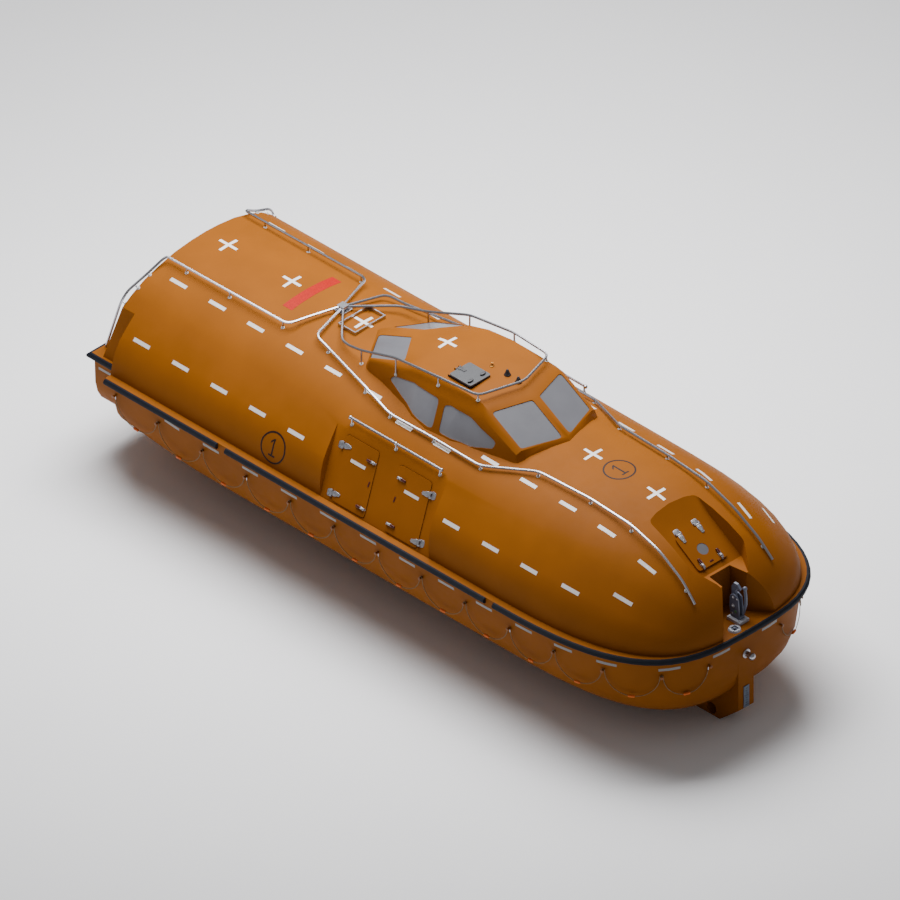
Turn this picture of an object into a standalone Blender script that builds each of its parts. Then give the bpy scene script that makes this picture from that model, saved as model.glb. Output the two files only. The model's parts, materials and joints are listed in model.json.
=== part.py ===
"""Totally enclosed davit-launched lifeboat, 11.95 m over its fender, modelled piece by piece.

Metres. X runs forward, Y to port, Z up. The origin is amidships on the centreline at the waterline.
"""
import math

import bmesh
import bpy
from mathutils import Matrix, Vector

# Driving dimensions of the boat
BOW_START = 2.40            # the plan runs straight aft of here and rounds off ahead of it
BOW_POWER = 3.2             # fullness of the bow's plan curve
BOW_STEPS = 16              # facets from BOW_START to the nose
STERN_X = -5.93             # transom
STEP_X = -5.33              # the quarters are stepped in aft of here
DECK_Z = 0.96               # top of the gunwale ledge and the end decks
SHEER_Z = 0.83              # where the hull's side begins under the ledge
KEEL_Z = -0.62
LEDGE_HALF = 2.235
LEDGE_REACH = 3.53          # from BOW_START to the ledge's nose
QUARTER_STEP = 0.325        # the ledge's step in at the quarters
SIDE_HALF = 2.15
SIDE_REACH = 3.43
CANOPY_HALF = 2.12
CANOPY_REACH = 3.50
CANOPY_HEIGHT = 1.485
WALL = 0.05                 # moulded double skin
GAP = 0.0004                # between touching pieces
SEAT = 0.0006               # between a fitting's foot and the faceted skin under it
FACETS = 10                 # sides of a small tube

# Canopy section: share of the half-breadth and share of the height, from the gunwale to the crown
CANOPY_SECTION = (
    (1.000, 0.000), (0.990, 0.130), (0.966, 0.250), (0.928, 0.358), (0.878, 0.443), (0.803, 0.554),
    (0.708, 0.689), (0.604, 0.800), (0.472, 0.884), (0.307, 0.957), (0.142, 0.990), (0.000, 1.000))
CANOPY_STATIONS = (-5.95, -4.6, -3.2, -1.6, 0.0, 1.3, 2.4, 3.0, 3.5, 3.9, 4.25, 4.6, 4.9, 5.15, 5.36,
                   5.53, 5.66, 5.75, 5.82, 5.87, 5.89)
CROWN_START = 3.3           # the crown line drops ahead of here
CROWN_REACH = BOW_START + CANOPY_REACH - CROWN_START
CROWN_POWER = 2.0
AFT_TAPER = 0.05            # loss of shoulder breadth from amidships to the stern

# Door bay: a flat panel let into each flank, its ends leaning aft by LEAN per metre of panel
BAY_FOOT = (2.125, 0.96)    # half-breadth and height of the panel's lower edge
BAY_HEAD = (1.551, 1.929)
BAY_ENDS = (-0.948, 1.320)
LEAN = 0.173
# Doors: name, aft edge, forward edge, hinged edge as +1 forward or -1 aft
DOORS = (("aft_door", -0.715, -0.042, -1), ("forward_door", 0.385, 1.057, 1))
DOOR_FOOT = 0.036
DOOR_HEAD = 1.033
DOOR_THICK = 0.045
DOOR_PROUD = 0.012          # the leaf stands out from its frame
DOOR_GAP = 0.006
DOOR_CORNER = 0.06
HINGE_PLACES = (0.10, 0.82)  # shares of the door's height
LATCH_PLACES = (0.12, 0.81)
LATCH_IN = 0.095            # from the free edge to the middle of a latch
HINGE_OUT = 0.016           # height of the pin over the panel
HINGE_OFF = 0.020           # from the pin to the leaf's edge
BARREL = 0.012
BARREL_HALF = 0.030
STRAP_END = 0.150           # from the pin to the end of a hinge's strap

# Bow recess: side profile of its floor, X and Z, and half-breadths
PAN_PROFILE = ((4.19, 2.37), (4.44, 2.165), (5.22, 1.65), (6.4, 1.65))
PAN_SIDE = (5.24, 0.50)     # where the side walls turn in, with the half-breadth at their foot
PAN_NECK = (5.57, 0.29)     # where they reach the hook well
PAN_FLARE = 0.15            # the side walls spread by this per metre forward
PAN_DRAFT = 0.20            # and by this per metre of height
WELL_PLAN = ((5.27, 0.213), (5.58, 0.255), (5.90, 0.545), (6.4, 0.998))
AFT_NICHE = (-5.44, 0.19, 1.62)  # forward wall, half-breadth and top of the after hook's niche
PAN_CORNER = 0.10           # radius of the recess's after corners in plan
HATCH_SPAN = (0.215, 0.835)  # along the slope from its upper end
HATCH_HALF = 0.30
HATCH_THICK = 0.024
HATCH_HINGES = (-0.19, 0.19)
HATCH_LATCH = (0.50, 0.61)  # a latch's span from the hinge's pin
HATCH_EYE = 0.56            # the round window's place along the slope
HATCH_EYE_RADIUS = 0.095

# Rubber fender on the ledge's edge: its height, its section and the gaps between its lengths
FENDER_Z = 0.912
FENDER_SECTION = ((GAP, -0.047), (0.030, -0.047), (0.055, -0.026), (0.062, 0.0), (0.055, 0.026),
                  (0.030, 0.047), (GAP, 0.047))
FENDER_GAPS = (-2.88, 2.71)
FENDER_GAP_HALF = 0.09

# Wheelhouse rings: centreline X, sweep aft per metre of breadth, crown height, roof edge half-breadth
# and height, shoulder half-breadth and height, half-breadth at the foot
WHEELHOUSE_FOOT = 2.08
WHEELHOUSE_RINGS = (
    (2.20, 0.33, 2.38, 0.74, 2.30, 0.84, 2.25, 0.93),
    (2.11, 0.325, 2.495, 0.74, 2.49, 0.82, 2.44, 0.95),
    (1.45, 0.325, 2.870, 0.74, 2.862, 0.84, 2.78, 1.04),
    (1.27, 0.31, 2.950, 0.72, 2.920, 0.84, 2.81, 1.06),
    (0.85, 0.15, 2.985, 0.72, 2.945, 0.86, 2.80, 1.12),
    (0.20, 0.0, 2.985, 0.72, 2.945, 0.87, 2.78, 1.15),
    (-0.50, -0.35, 2.945, 0.70, 2.905, 0.83, 2.76, 1.10),
    (-1.05, -0.60, 2.830, 0.67, 2.805, 0.77, 2.70, 0.98),
    (-1.80, -0.66, 2.505, 0.67, 2.515, 0.72, 2.47, 0.80),
    (-1.92, -0.66, 2.38, 0.67, 2.30, 0.72, 2.25, 0.78))
WHEELHOUSE_WALL = 0.04
PANE_INSET = 0.006
PANE_THICK = 0.020
# Windows seen in plan: X, half-breadth
FRONT_WINDOW = ((1.434, 0.07), (2.073, 0.07), (1.844, 0.72), (1.223, 0.72))
REAR_WINDOW = ((-1.715, 0.135), (-1.025, 0.135), (-0.655, 0.65), (-1.375, 0.65))
# Windows seen from the side: X, Z
SIDE_AFT_WINDOW = ((-0.84, 2.46), (-0.74, 2.56), (-0.27, 2.70), (0.30, 2.73), (0.325, 2.275), (-0.03, 2.28),
                   (-0.47, 2.37))
SIDE_FORE_WINDOW = ((0.43, 2.68), (0.55, 2.725), (0.956, 2.705), (1.47, 2.505), (1.43, 2.387), (1.04, 2.28),
                    (0.45, 2.273))

# Drive: propeller in a steering nozzle
PROP_X = -5.50
PROP_Z = -0.58
PROP_RADIUS = 0.215
SHAFT_RISE = 0.106          # per metre forward
SHAFT_RADIUS = 0.030
SHAFT_END_X = -3.854        # a running gap from the engine's after face
BLADE = ((-0.028, 0.03), (-0.075, 0.11), (-0.085, 0.17), (-0.03, PROP_RADIUS))  # half of its outline
BLADE_PITCH = 52            # degrees
ENGINE_LOW = (-3.85, -0.30, -0.48 + GAP)
ENGINE_HIGH = (-2.65, 0.30, 0.27)
NOZZLE_BORE = 0.240
NOZZLE_RADIUS = 0.270
NOZZLE_HALF = 0.19

# Release hooks, seen from the side, with positive places aft of the fore hook's middle: foot plate half
# length, half breadth and thickness; outline of a cheek; the arm's line; its place beside the cheeks;
# outline of the tongue from its pivot
HOOK_FOOT = (0.135, 0.100, 0.050)
HOOK_CHEEK = ((-0.06, 0.02), (0.10, 0.02), (0.13, 0.22), (0.12, 0.42), (0.04, 0.47), (-0.05, 0.42),
              (-0.07, 0.20))
HOOK_ARM = ((0.000, 0.015), (-0.045, 0.14), (-0.085, 0.28), (-0.085, 0.40), (-0.065, 0.55))
HOOK_ARM_SIDE = 0.082
HOOK_TONGUE = ((0.0, -0.05), (0.05, 0.0), (0.065, 0.16), (0.065, 0.32), (0.02, 0.395), (-0.05, 0.395),
               (-0.115, 0.33), (-0.10, 0.295), (-0.05, 0.31), (-0.02, 0.27), (-0.03, 0.10), (-0.05, 0.0))

# Rails
RAIL_RADIUS = 0.020
POST_RADIUS = 0.014
POST_DOWN = (0.0, 0.0, -0.30)
POST_IN = (0.12, -0.035, -0.07)  # on the port side
HUB_X = -2.597              # the block where the rails meet
HUB_HALF = 0.065
HUB_SPAN = (2.480, 2.532)
HUB_FOOT = (0.105, 0.014)   # half-width and thickness of its foot plate

# Small fittings
UNDER_ROOF = 2.30           # a height inside the roof, where its fittings' blanks start
RING_PLACE = (5.80, -0.215)  # low dished ring on the foredeck
RING_RADIUS = 0.100
RING_THICK = 0.028
RING_DISH = 0.055           # radius of its hollow
LAMP_X = 0.52
ROOF_VENTS = (("roof_vent_aft", 0.84), ("roof_vent_fore", 1.07))

# Grab lines: lengths of rope hung in loops from pegs on the hull's side, the pegs given by their X
GRAB_PEGS = (-5.300, -4.350, -3.385, -2.467, -1.550, -0.633, 0.284, 1.200, 2.115, 3.030, 3.920, 4.770, 5.510,
             5.810)
GRAB_LENGTHS = ((0, 3), (3, 6), (6, 9), (9, 13))  # first and last peg of each rope
GRAB_Z = 0.570
GRAB_SAG = 0.360
GRAB_STEPS = 10             # stretches of one hanging loop
TURN_SLACK = 0.0015         # between the rope and the peg that it turns over
TURN_STEPS = 6              # stretches of the rope's half turn over a peg
GRAB_OUT = 0.018            # from the hull's side to the rope's middle
GRAB_RADIUS = 0.006
PEG_RADIUS = 0.018
PEG_HALF = 0.032            # from the rope's middle to the end of the peg

COLORS = {
    "orange": (0.72, 0.20, 0.02, 1.0), "rubber": (0.02, 0.025, 0.04, 1.0),
    "steel": (0.55, 0.55, 0.58, 1.0), "glass": (0.28, 0.28, 0.31, 1.0),
    "lid": (0.22, 0.23, 0.24, 1.0), "iron": (0.10, 0.12, 0.16, 1.0),
    "bronze": (0.55, 0.33, 0.10, 1.0), "black": (0.01, 0.01, 0.01, 1.0),
    "rope": (0.58, 0.55, 0.50, 1.0)}
METALS = ("steel", "iron", "bronze")
SIDES = (("starboard", -1), ("port", 1))


def clear_scene():
    for obj in list(bpy.data.objects):
        bpy.data.objects.remove(obj, do_unlink=True)


def make_collection(name):
    collection = bpy.data.collections.new(name)
    bpy.context.scene.collection.children.link(collection)
    return collection


def material(name, color):
    mat = bpy.data.materials.new(name)
    mat.use_nodes = True
    shader = mat.node_tree.nodes["Principled BSDF"]
    shader.inputs["Base Color"].default_value = COLORS[color]
    shader.inputs["Metallic"].default_value = 1.0 if color in METALS else 0.0
    shader.inputs["Roughness"].default_value = 0.35 if color in METALS else 0.5
    return mat


def add_object(name, bm, collection):
    """Object from a bmesh, with outward faces; the bmesh is freed."""
    bmesh.ops.recalc_face_normals(bm, faces=bm.faces)
    mesh = bpy.data.meshes.new(name)
    bm.to_mesh(mesh)
    bm.free()
    obj = bpy.data.objects.new(name, mesh)
    collection.objects.link(obj)
    return obj


def loft(name, rings, collection):
    """Closed solid through rings of the same number of points, split on the shorter diagonals."""
    bm = bmesh.new()
    rows = [[bm.verts.new(point) for point in ring] for ring in rings]
    count = len(rows[0])
    for low, high in zip(rows, rows[1:]):
        for i in range(count):
            j = (i + 1) % count
            if (low[i].co - high[j].co).length <= (low[j].co - high[i].co).length:
                bm.faces.new((low[i], low[j], high[j]))
                bm.faces.new((low[i], high[j], high[i]))
            else:
                bm.faces.new((low[i], low[j], high[i]))
                bm.faces.new((low[j], high[j], high[i]))
    bm.faces.new(rows[0])
    bm.faces.new(rows[-1])
    bmesh.ops.remove_doubles(bm, verts=bm.verts, dist=0.00001)
    bmesh.ops.dissolve_degenerate(bm, edges=bm.edges, dist=0.00001)
    return add_object(name, bm, collection)


def prism(name, outline, low, high, place, collection):
    """Solid between two copies of an outline: place(a, b, depth) gives the world point."""
    rings = [[place(a, b, depth) for a, b in outline] for depth in (low, high)]
    return loft(name, rings, collection)


def box(name, low, high, collection, frame=None):
    """Box between two corners, in a frame if one is given."""
    bm = bmesh.new()
    bmesh.ops.create_cube(bm, size=1.0)
    size = [b - a for a, b in zip(low, high)]
    centre = [(a + b) / 2 for a, b in zip(low, high)]
    matrix = Matrix.Translation(centre) @ Matrix.Diagonal((*size, 1.0))
    bmesh.ops.transform(bm, matrix=(frame or Matrix.Identity(4)) @ matrix, verts=bm.verts)
    return add_object(name, bm, collection)


def rod(name, start, end, radius, collection, sides=FACETS, end_radius=None):
    """Cylinder or cone from one point to another."""
    start = Vector(start)
    end = Vector(end)
    axis = end - start
    bm = bmesh.new()
    bmesh.ops.create_cone(bm, cap_ends=True, segments=sides, radius1=radius,
                          radius2=radius if end_radius is None else end_radius, depth=axis.length)
    turn = axis.to_track_quat("Z", "Y").to_matrix().to_4x4()
    bmesh.ops.transform(bm, matrix=Matrix.Translation((start + end) / 2) @ turn, verts=bm.verts)
    return add_object(name, bm, collection)


def ball(name, centre, radius, collection):
    bm = bmesh.new()
    bmesh.ops.create_uvsphere(bm, u_segments=12, v_segments=8, radius=radius)
    bmesh.ops.translate(bm, vec=centre, verts=bm.verts)
    return add_object(name, bm, collection)


def combine(target, tools, operation):
    """Cuts, joins or crosses the target with each tool in turn and removes the tools."""
    for tool in tools:
        modifier = target.modifiers.new(operation.title(), "BOOLEAN")
        modifier.operation = operation
        modifier.solver = "EXACT"
        modifier.object = tool
    bpy.context.view_layer.update()
    graph = bpy.context.evaluated_depsgraph_get()
    mesh = bpy.data.meshes.new_from_object(target.evaluated_get(graph))
    target.modifiers.clear()
    target.data = mesh
    for tool in tools:
        bpy.data.objects.remove(tool, do_unlink=True)
    return target


def cut(target, *tools):
    return combine(target, tools, "DIFFERENCE")


def fuse(target, *tools):
    return combine(target, tools, "UNION")


def keep_inside(target, *tools):
    return combine(target, tools, "INTERSECT")


def tidy(obj):
    """Merges the slivers that a cut leaves and shades the round parts smooth."""
    bm = bmesh.new()
    bm.from_mesh(obj.data)
    bmesh.ops.remove_doubles(bm, verts=bm.verts, dist=0.00002)
    bmesh.ops.dissolve_degenerate(bm, edges=bm.edges, dist=0.00002)
    bm.to_mesh(obj.data)
    bm.free()
    obj.data.shade_smooth()
    obj.data.set_sharp_from_angle(angle=math.radians(32))


def finish(obj, color, pivot=None):
    """Gives a piece its material and puts its origin on its pivot."""
    tidy(obj)
    obj.data.materials.clear()
    obj.data.materials.append(material(obj.name, color))
    if pivot is not None:
        obj.data.transform(Matrix.Translation(-Vector(pivot)))
        obj.location = pivot
    return obj


def rounded(outline, radius, steps=3):
    """Outline with its corners replaced by arcs."""
    points = []
    count = len(outline)
    for i, corner in enumerate(outline):
        here = Vector(corner)
        before = Vector(outline[i - 1]) - here
        after = Vector(outline[(i + 1) % count]) - here
        half = before.angle(after) / 2
        reach = min(radius / math.tan(half), before.length * 0.45, after.length * 0.45)
        start = here + before.normalized() * reach
        end = here + after.normalized() * reach
        for k in range(steps + 1):
            t = k / steps
            points.append(tuple((1 - t) ** 2 * start + 2 * t * (1 - t) * here + t * t * end))
    return points


def shrunk(outline, margin):
    """Convex outline moved in by a margin, or out by a negative one."""
    centre = sum((Vector(p) for p in outline), Vector((0.0, 0.0))) / len(outline)
    lines = []
    count = len(outline)
    for i in range(count):
        a = Vector(outline[i])
        b = Vector(outline[(i + 1) % count])
        normal = Vector((b.y - a.y, a.x - b.x)).normalized()
        if normal.dot(centre - a) < 0:
            normal.negate()
        lines.append((a + normal * margin, b - a))
    points = []
    for i in range(count):
        (p, d), (q, e) = lines[i - 1], lines[i]
        cross = d.x * e.y - d.y * e.x
        t = ((q.x - p.x) * e.y - (q.y - p.y) * e.x) / cross
        points.append(tuple(p + d * t))
    return points


def bow_curve(share, half, reach):
    """Point on a waterline's bow; share runs from 0 at the nose to 1 at BOW_START."""
    angle = share * math.pi / 2
    along = math.cos(angle) ** (2 / BOW_POWER) if share < 1 else 0.0
    out = math.sin(angle) ** (2 / BOW_POWER) if share > 0 else 0.0
    return BOW_START + reach * along, half * out


def plan_half(x, half, reach):
    """Half-breadth of a waterline at one station."""
    t = min(max((x - BOW_START) / reach, 0.0), 1.0)
    return half * (1 - t ** BOW_POWER) ** (1 / BOW_POWER)


def blend(x, start, end):
    """0 at start, 1 at end, smooth between."""
    t = min(max((x - start) / (end - start), 0.0), 1.0)
    return t * t * (3 - 2 * t)


def hull_rows(x):
    """Half-section of the hull at a station aft of the bow: half-breadth, height, nose reach."""
    aft = blend(x, -3.9, -5.25)
    quarter = 1.0 if x < STEP_X else 0.0
    ledge = LEDGE_HALF - QUARTER_STEP * quarter
    side = SIDE_HALF - 0.10 * blend(x, -3.5, -5.3) - 0.194 * quarter
    depth = (SHEER_Z - KEEL_Z) - 0.34 * aft
    power = 2.8 + 0.9 * aft
    rows = [(ledge, DECK_Z, LEDGE_REACH), (ledge, 0.865, LEDGE_REACH)]
    steps = 9
    for k in range(steps + 1):
        angle = k / steps * math.pi / 2
        out = side * math.cos(angle) ** (2 / power) if k < steps else 0.0
        z = SHEER_Z - depth * math.sin(angle) ** (2 / power)
        rows.append((out, z, stem_reach(z)))
    return rows


def stem_reach(z):
    """How far ahead of BOW_START the hull's centreline reaches at a height."""
    if z >= 0.3:
        return SIDE_REACH
    drop = min((0.3 - z) / (0.3 - KEEL_Z), 1.0)
    return 1.85 + (SIDE_REACH - 1.85) * (1 - drop ** 2.5) ** 0.4


def build_hull(parts):
    """Moulded hull: outer form, cabin space, engine pit, keel, skeg and stem fin."""
    rings = []
    for x in (STERN_X, STEP_X - 0.004, STEP_X + 0.004, -4.6, -3.9, -2.0, 0.0, 1.2):
        rings.append([(x, y, z) for y, z, reach in hull_rows(x)])
    for k in range(BOW_STEPS, -1, -1):
        rings.append([bow_curve(k / BOW_STEPS, y, reach) + (z,) for y, z, reach in hull_rows(BOW_START)])
    bm = bmesh.new()
    port = [[bm.verts.new(point) for point in ring] for ring in rings]
    for aft, fore in zip(port, port[1:]):
        for i in range(len(aft) - 1):
            bm.faces.new((aft[i], fore[i], fore[i + 1]))
            bm.faces.new((aft[i], fore[i + 1], aft[i + 1]))
    middle = bm.verts.new((STERN_X, 0.0, DECK_Z))
    bm.faces.new(port[0] + [middle])
    bm.faces.new([ring[0] for ring in port] + [middle])
    bmesh.ops.mirror(bm, geom=bm.verts[:] + bm.edges[:] + bm.faces[:], axis="Y", merge_dist=0.00001)
    bmesh.ops.remove_doubles(bm, verts=bm.verts, dist=0.0001)
    bmesh.ops.dissolve_degenerate(bm, edges=bm.edges, dist=0.0001)
    hull = add_object("hull", bm, parts)

    stem = ((5.825, 0.50), (5.825, -0.53), (5.435, -0.863), (4.35, -0.87), (3.6, -0.50), (4.4, 0.50))
    fin = prism("fin", stem, -0.16, 0.16, lambda a, b, d: (a, d, b), parts)
    skeg = ((-3.4, -0.30), (-5.12, -0.25), (-5.12, -0.68), (-4.6, -0.72), (-3.4, -0.70), (4.5, -0.70),
            (4.5, -0.40))
    keel = prism("keel", skeg, -0.075, 0.075, lambda a, b, d: (a, d, b), parts)
    fuse(hull, fin, keel)

    floor = cabin_plan(1.80, 4.55)
    rim = cabin_plan(2.00, 4.75)
    cabin = loft("cabin", [[(x, y, 0.05) for x, y in floor], [(x, y, 1.10) for x, y in rim]], parts)
    pit = box("pit", (-4.0, -0.42, -0.48), (-2.5, 0.42, 0.2), parts)
    rise = SHAFT_RISE
    tube = rod("tube", (PROP_X, 0, PROP_Z), (-3.9, 0, PROP_Z + rise * (-3.9 - PROP_X)), SHAFT_RADIUS + 0.0009,
               parts, 24)
    stock = rod("stock", (PROP_X, 0, -0.9), (PROP_X, 0, 0.02), 0.0359, parts, 24)
    tunnel = rod("tunnel", (5.263, -0.4, -0.745), (5.263, 0.4, -0.745), 0.10, parts, 16)
    cut(hull, cabin, pit, tube, stock, tunnel)
    pegs = []
    for name, side in SIDES:
        line = side_line()
        for x in GRAB_PEGS:
            point, outward = on_line(line, along_at(line, x))
            foot = Vector((point.x - outward.x * 0.05, side * (point.y - outward.y * 0.05), GRAB_Z))
            tip = Vector((point.x + outward.x * PEG_HALF, side * (point.y + outward.y * PEG_HALF), GRAB_Z))
            pegs.append(rod("peg", foot, tip, PEG_RADIUS, parts, 8))
    fuse(hull, *pegs)
    return finish(hull, "orange")


def side_line():
    """Plan of the port grab lines: the hull's side at the pegs, moved out, from the quarter to the nose."""
    stations = []
    for x in (STEP_X, -4.6, -3.9, -2.0):
        stations.append((x, hull_rows(x + 0.01)[2][0]))
    for k in range(BOW_STEPS, -1, -1):
        stations.append(bow_curve(k / BOW_STEPS, SIDE_HALF, SIDE_REACH))
    points = [Vector(place) for place in stations]
    moved = []
    for i, point in enumerate(points):
        run = points[min(i + 1, len(points) - 1)] - points[max(i - 1, 0)]
        outward = Vector((-run.y, run.x)).normalized()
        if outward.y < 0:
            outward.negate()
        moved.append(point + outward * GRAB_OUT)
    return moved


def along_at(line, x):
    """Distance along a plan line to the place where it reaches an X."""
    run = 0.0
    for a, b in zip(line, line[1:]):
        if b.x >= x:
            return run + (b - a).length * (x - a.x) / (b.x - a.x)
        run += (b - a).length
    return run


def on_line(line, distance):
    """Point at a distance along a plan line, and the outward direction there."""
    for a, b in zip(line, line[1:]):
        step = (b - a).length
        if distance <= step or b is line[-1]:
            ahead = (b - a) / step
            return a + ahead * distance, Vector((-ahead.y, ahead.x))
        distance -= step
    return line[-1], Vector((1.0, 0.0))


def cabin_plan(half, nose):
    """Outline of the cabin space, rounded at the bow."""
    port = [(-4.9, half - 0.1), (BOW_START - 0.6, half)]
    for k in range(5, 0, -1):
        x, y = bow_curve(k / 6, half, nose - BOW_START)
        port.append((x, y))
    return port + [(nose, 0.0)] + [(x, -y) for x, y in reversed(port)]


def canopy_half(x, grow, skirt):
    """Half-section of the canopy at a station, from below the gunwale to the crown."""
    base = plan_half(x, CANOPY_HALF + grow, CANOPY_REACH + grow)
    t = min(max((x - CROWN_START) / (CROWN_REACH + grow), 0.0), 1.0)
    height = (CANOPY_HEIGHT + grow) * (1 - t ** CROWN_POWER) ** (1 / CROWN_POWER)
    aft = min(max(-x / 5.5, 0.0), 1.1)
    height *= 1 - 0.018 * aft
    points = [(base, DECK_Z - skirt)]
    for out, up in CANOPY_SECTION:
        points.append((base * out * (1 - AFT_TAPER * aft * up), DECK_Z + GAP + height * up))
    return points if skirt else points[1:]


def canopy_volume(name, parts, grow=0.0, skirt=0.0, start=-5.95):
    """Solid inside the canopy's skin, offset by grow."""
    rings = []
    for x in CANOPY_STATIONS:
        if x > BOW_START + CANOPY_REACH + grow - 0.008:
            continue
        half = canopy_half(max(x, start), grow, skirt)
        ring = [(max(x, start), y, z) for y, z in half]
        ring += [(x0, -y, z) for x0, y, z in reversed(ring[:-1])]
        rings.append(ring)
    return loft(name, rings, parts)


def bay_point(side, x, up, out):
    """World point from a place on the door bay's panel: along, up the slope and outward."""
    foot = Vector(BAY_FOOT)
    run = Vector(BAY_HEAD) - foot
    slope = run.normalized()
    normal = Vector((slope.y, -slope.x))
    place = foot + slope * up + normal * out
    return Vector((x - LEAN * up, side * place.x, place.y))


def bay_cutter(name, side, depth, grow, parts):
    """Solid that opens the door bay, from depth behind its panel outward."""
    aft, fore = BAY_ENDS
    outline = ((aft - grow, -0.30), (fore + grow, -0.30), (fore + grow, 1.6), (aft - grow, 1.6))
    return prism(name, outline, -depth, 0.5, lambda a, b, d: bay_point(side, a, b, d), parts)


def pan_cutter(name, grow, parts):
    """Solid that opens the bow recess; grow moves its floor down and its sides out."""
    floor = [(x - grow * 0.55, z - grow) for x, z in PAN_PROFILE]
    outline = floor + [(6.4, 3.2), (PAN_PROFILE[0][0] - grow * 0.55 - 0.25, 3.2)]
    cutter = prism(name, outline, -1.0, 1.0, lambda a, b, d: (a, d, b), parts)
    (top_x, top_z), (foot_x, foot_z), (flat_x, flat_z) = PAN_PROFILE[:3]
    lean = (foot_x - top_x) / (top_z - foot_z)
    rings = []
    for z in (flat_z - 0.07, 3.3):
        aft = foot_x - grow * (0.55 + lean) - lean * (z - foot_z)
        out = PAN_DRAFT * (z - flat_z) + 1.2 * grow
        port = [(aft, PAN_SIDE[1] + PAN_FLARE * (aft - PAN_SIDE[0]) + out), (PAN_SIDE[0], PAN_SIDE[1] + out),
                (PAN_NECK[0], PAN_NECK[1] + out), (7.5, PAN_NECK[1] + out)]
        plan = rounded(port + [(x, -y) for x, y in reversed(port)], PAN_CORNER + grow, 4)
        rings.append([(x, y, z) for x, y in plan])
    return keep_inside(cutter, loft("walls", rings, parts))


def well_cutter(name, grow, parts):
    """Solid that opens the hook well down to the foredeck."""
    port = [(x - grow, y + grow) for x, y in WELL_PLAN]
    outline = port + [(x, -y) for x, y in reversed(port)]
    return prism(name, outline, 0.70, 1.66 - grow, lambda a, b, d: (a, b, d), parts)


def niche_cutter(name, grow, parts):
    """Solid that opens the after hook's niche."""
    fore, half, top = AFT_NICHE
    return box(name, (-6.4, -half - grow, 0.70), (fore + grow, half + grow, top + grow), parts)


def notch_cutter(name, side, grow, parts):
    """Solid that steps in the canopy's quarter above the after deck."""
    outline = ((1.885 - grow, 0.90), (1.60 - grow, 1.86), (1.25, 3.00), (3.0, 3.00), (3.0, 0.90))
    return prism(name, outline, -6.4, STEP_X + grow, lambda a, b, d: (d, side * a, b), parts)


def stern_cutter(name, grow, parts):
    """Solid that cuts the canopy's leaning after face."""
    outline = ((-5.77 + grow, 0.80), (-5.735 + grow, DECK_Z), (-5.49 + grow, 2.33), (-5.37 + grow, 3.0),
               (-6.6, 3.0), (-6.6, 0.80))
    return prism(name, outline, -3.0, 3.0, lambda a, b, d: (a, d, b), parts)


def seat_volume(parts):
    """The canopy's outer form with a seat's clearance, for trimming what stands on it."""
    tools = [stern_cutter("stern_cut", -SEAT, parts)]
    for name, side in SIDES:
        tools.append(notch_cutter("notch_" + name, side, -SEAT, parts))
    return cut(canopy_volume("under", parts, SEAT), *tools)


def shape_canopy(volume, grow, parts):
    """Cuts all the recesses into the canopy's solid."""
    tools = [stern_cutter("stern_cut", grow, parts), pan_cutter("pan_cut", grow, parts),
             well_cutter("well_cut", grow, parts), niche_cutter("niche_cut", grow, parts)]
    for name, side in SIDES:
        tools.append(notch_cutter("notch_" + name, side, grow, parts))
        tools.append(bay_cutter("bay_" + name, side, grow, grow, parts))
    return cut(volume, *tools)


def build_canopy(parts):
    """Rigid canopy: a hollow moulding with door bays, bow recess, hook well and stepped quarters."""
    canopy = shape_canopy(canopy_volume("canopy", parts), 0.0, parts)
    inside = shape_canopy(canopy_volume("inside", parts, -WALL, 0.2, -5.80), WALL, parts)
    roof_cut = prism("roof_cut", rounded(((-1.25, -0.62), (1.55, -0.62), (1.55, 0.62), (-1.25, 0.62)), 0.2),
                     2.0, 2.7, lambda a, b, d: (a, b, d), parts)
    cut(canopy, inside, roof_cut)
    lugs = []
    for name, side in SIDES:
        for door, aft, fore, hinged in DOORS:
            outline = door_outline(aft, fore, -DOOR_GAP)
            opening = prism("opening", outline, -0.2, 0.2, lambda a, b, d: bay_point(side, a, b, d), parts)
            cut(canopy, opening)
            for place in HINGE_PLACES:
                lugs += hinge_lugs(door_hinge_frame(side, aft, fore, hinged, place), parts)
    hatch_hole = prism("hatch_hole", hatch_outline(0.04), -0.2, 0.1, slope_point, parts)
    cut(canopy, hatch_hole)
    for y in HATCH_HINGES:
        lugs += hinge_lugs(hatch_hinge_frame(y), parts)
    fuse(canopy, *lugs)
    return finish(canopy, "orange")


def door_outline(aft, fore, margin):
    corners = ((aft + margin, DOOR_FOOT + margin), (fore - margin, DOOR_FOOT + margin),
               (fore - margin, DOOR_HEAD - margin), (aft + margin, DOOR_HEAD - margin))
    return rounded(corners, DOOR_CORNER)


def axes_frame(origin, x_axis, z_axis):
    """Right-handed frame with its X along the hinge and its Z outward."""
    x_axis = Vector(x_axis).normalized()
    z_axis = (Vector(z_axis) - x_axis * x_axis.dot(Vector(z_axis))).normalized()
    y_axis = z_axis.cross(x_axis)
    frame = Matrix((x_axis, y_axis, z_axis)).transposed().to_4x4()
    frame.translation = origin
    return frame


def door_hinge_frame(side, aft, fore, hinged, share):
    """Frame of one door hinge: X along the pin, Y toward the leaf, Z outward from the panel."""
    edge = fore + HINGE_OFF if hinged > 0 else aft - HINGE_OFF
    up = DOOR_FOOT + share * (DOOR_HEAD - DOOR_FOOT)
    origin = bay_point(side, edge, up, 0.0)
    along = bay_point(side, edge, up + 1.0, 0.0) - origin
    outward = bay_point(side, edge, up, 1.0) - origin
    return axes_frame(origin, along * -side * hinged, outward)


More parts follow.
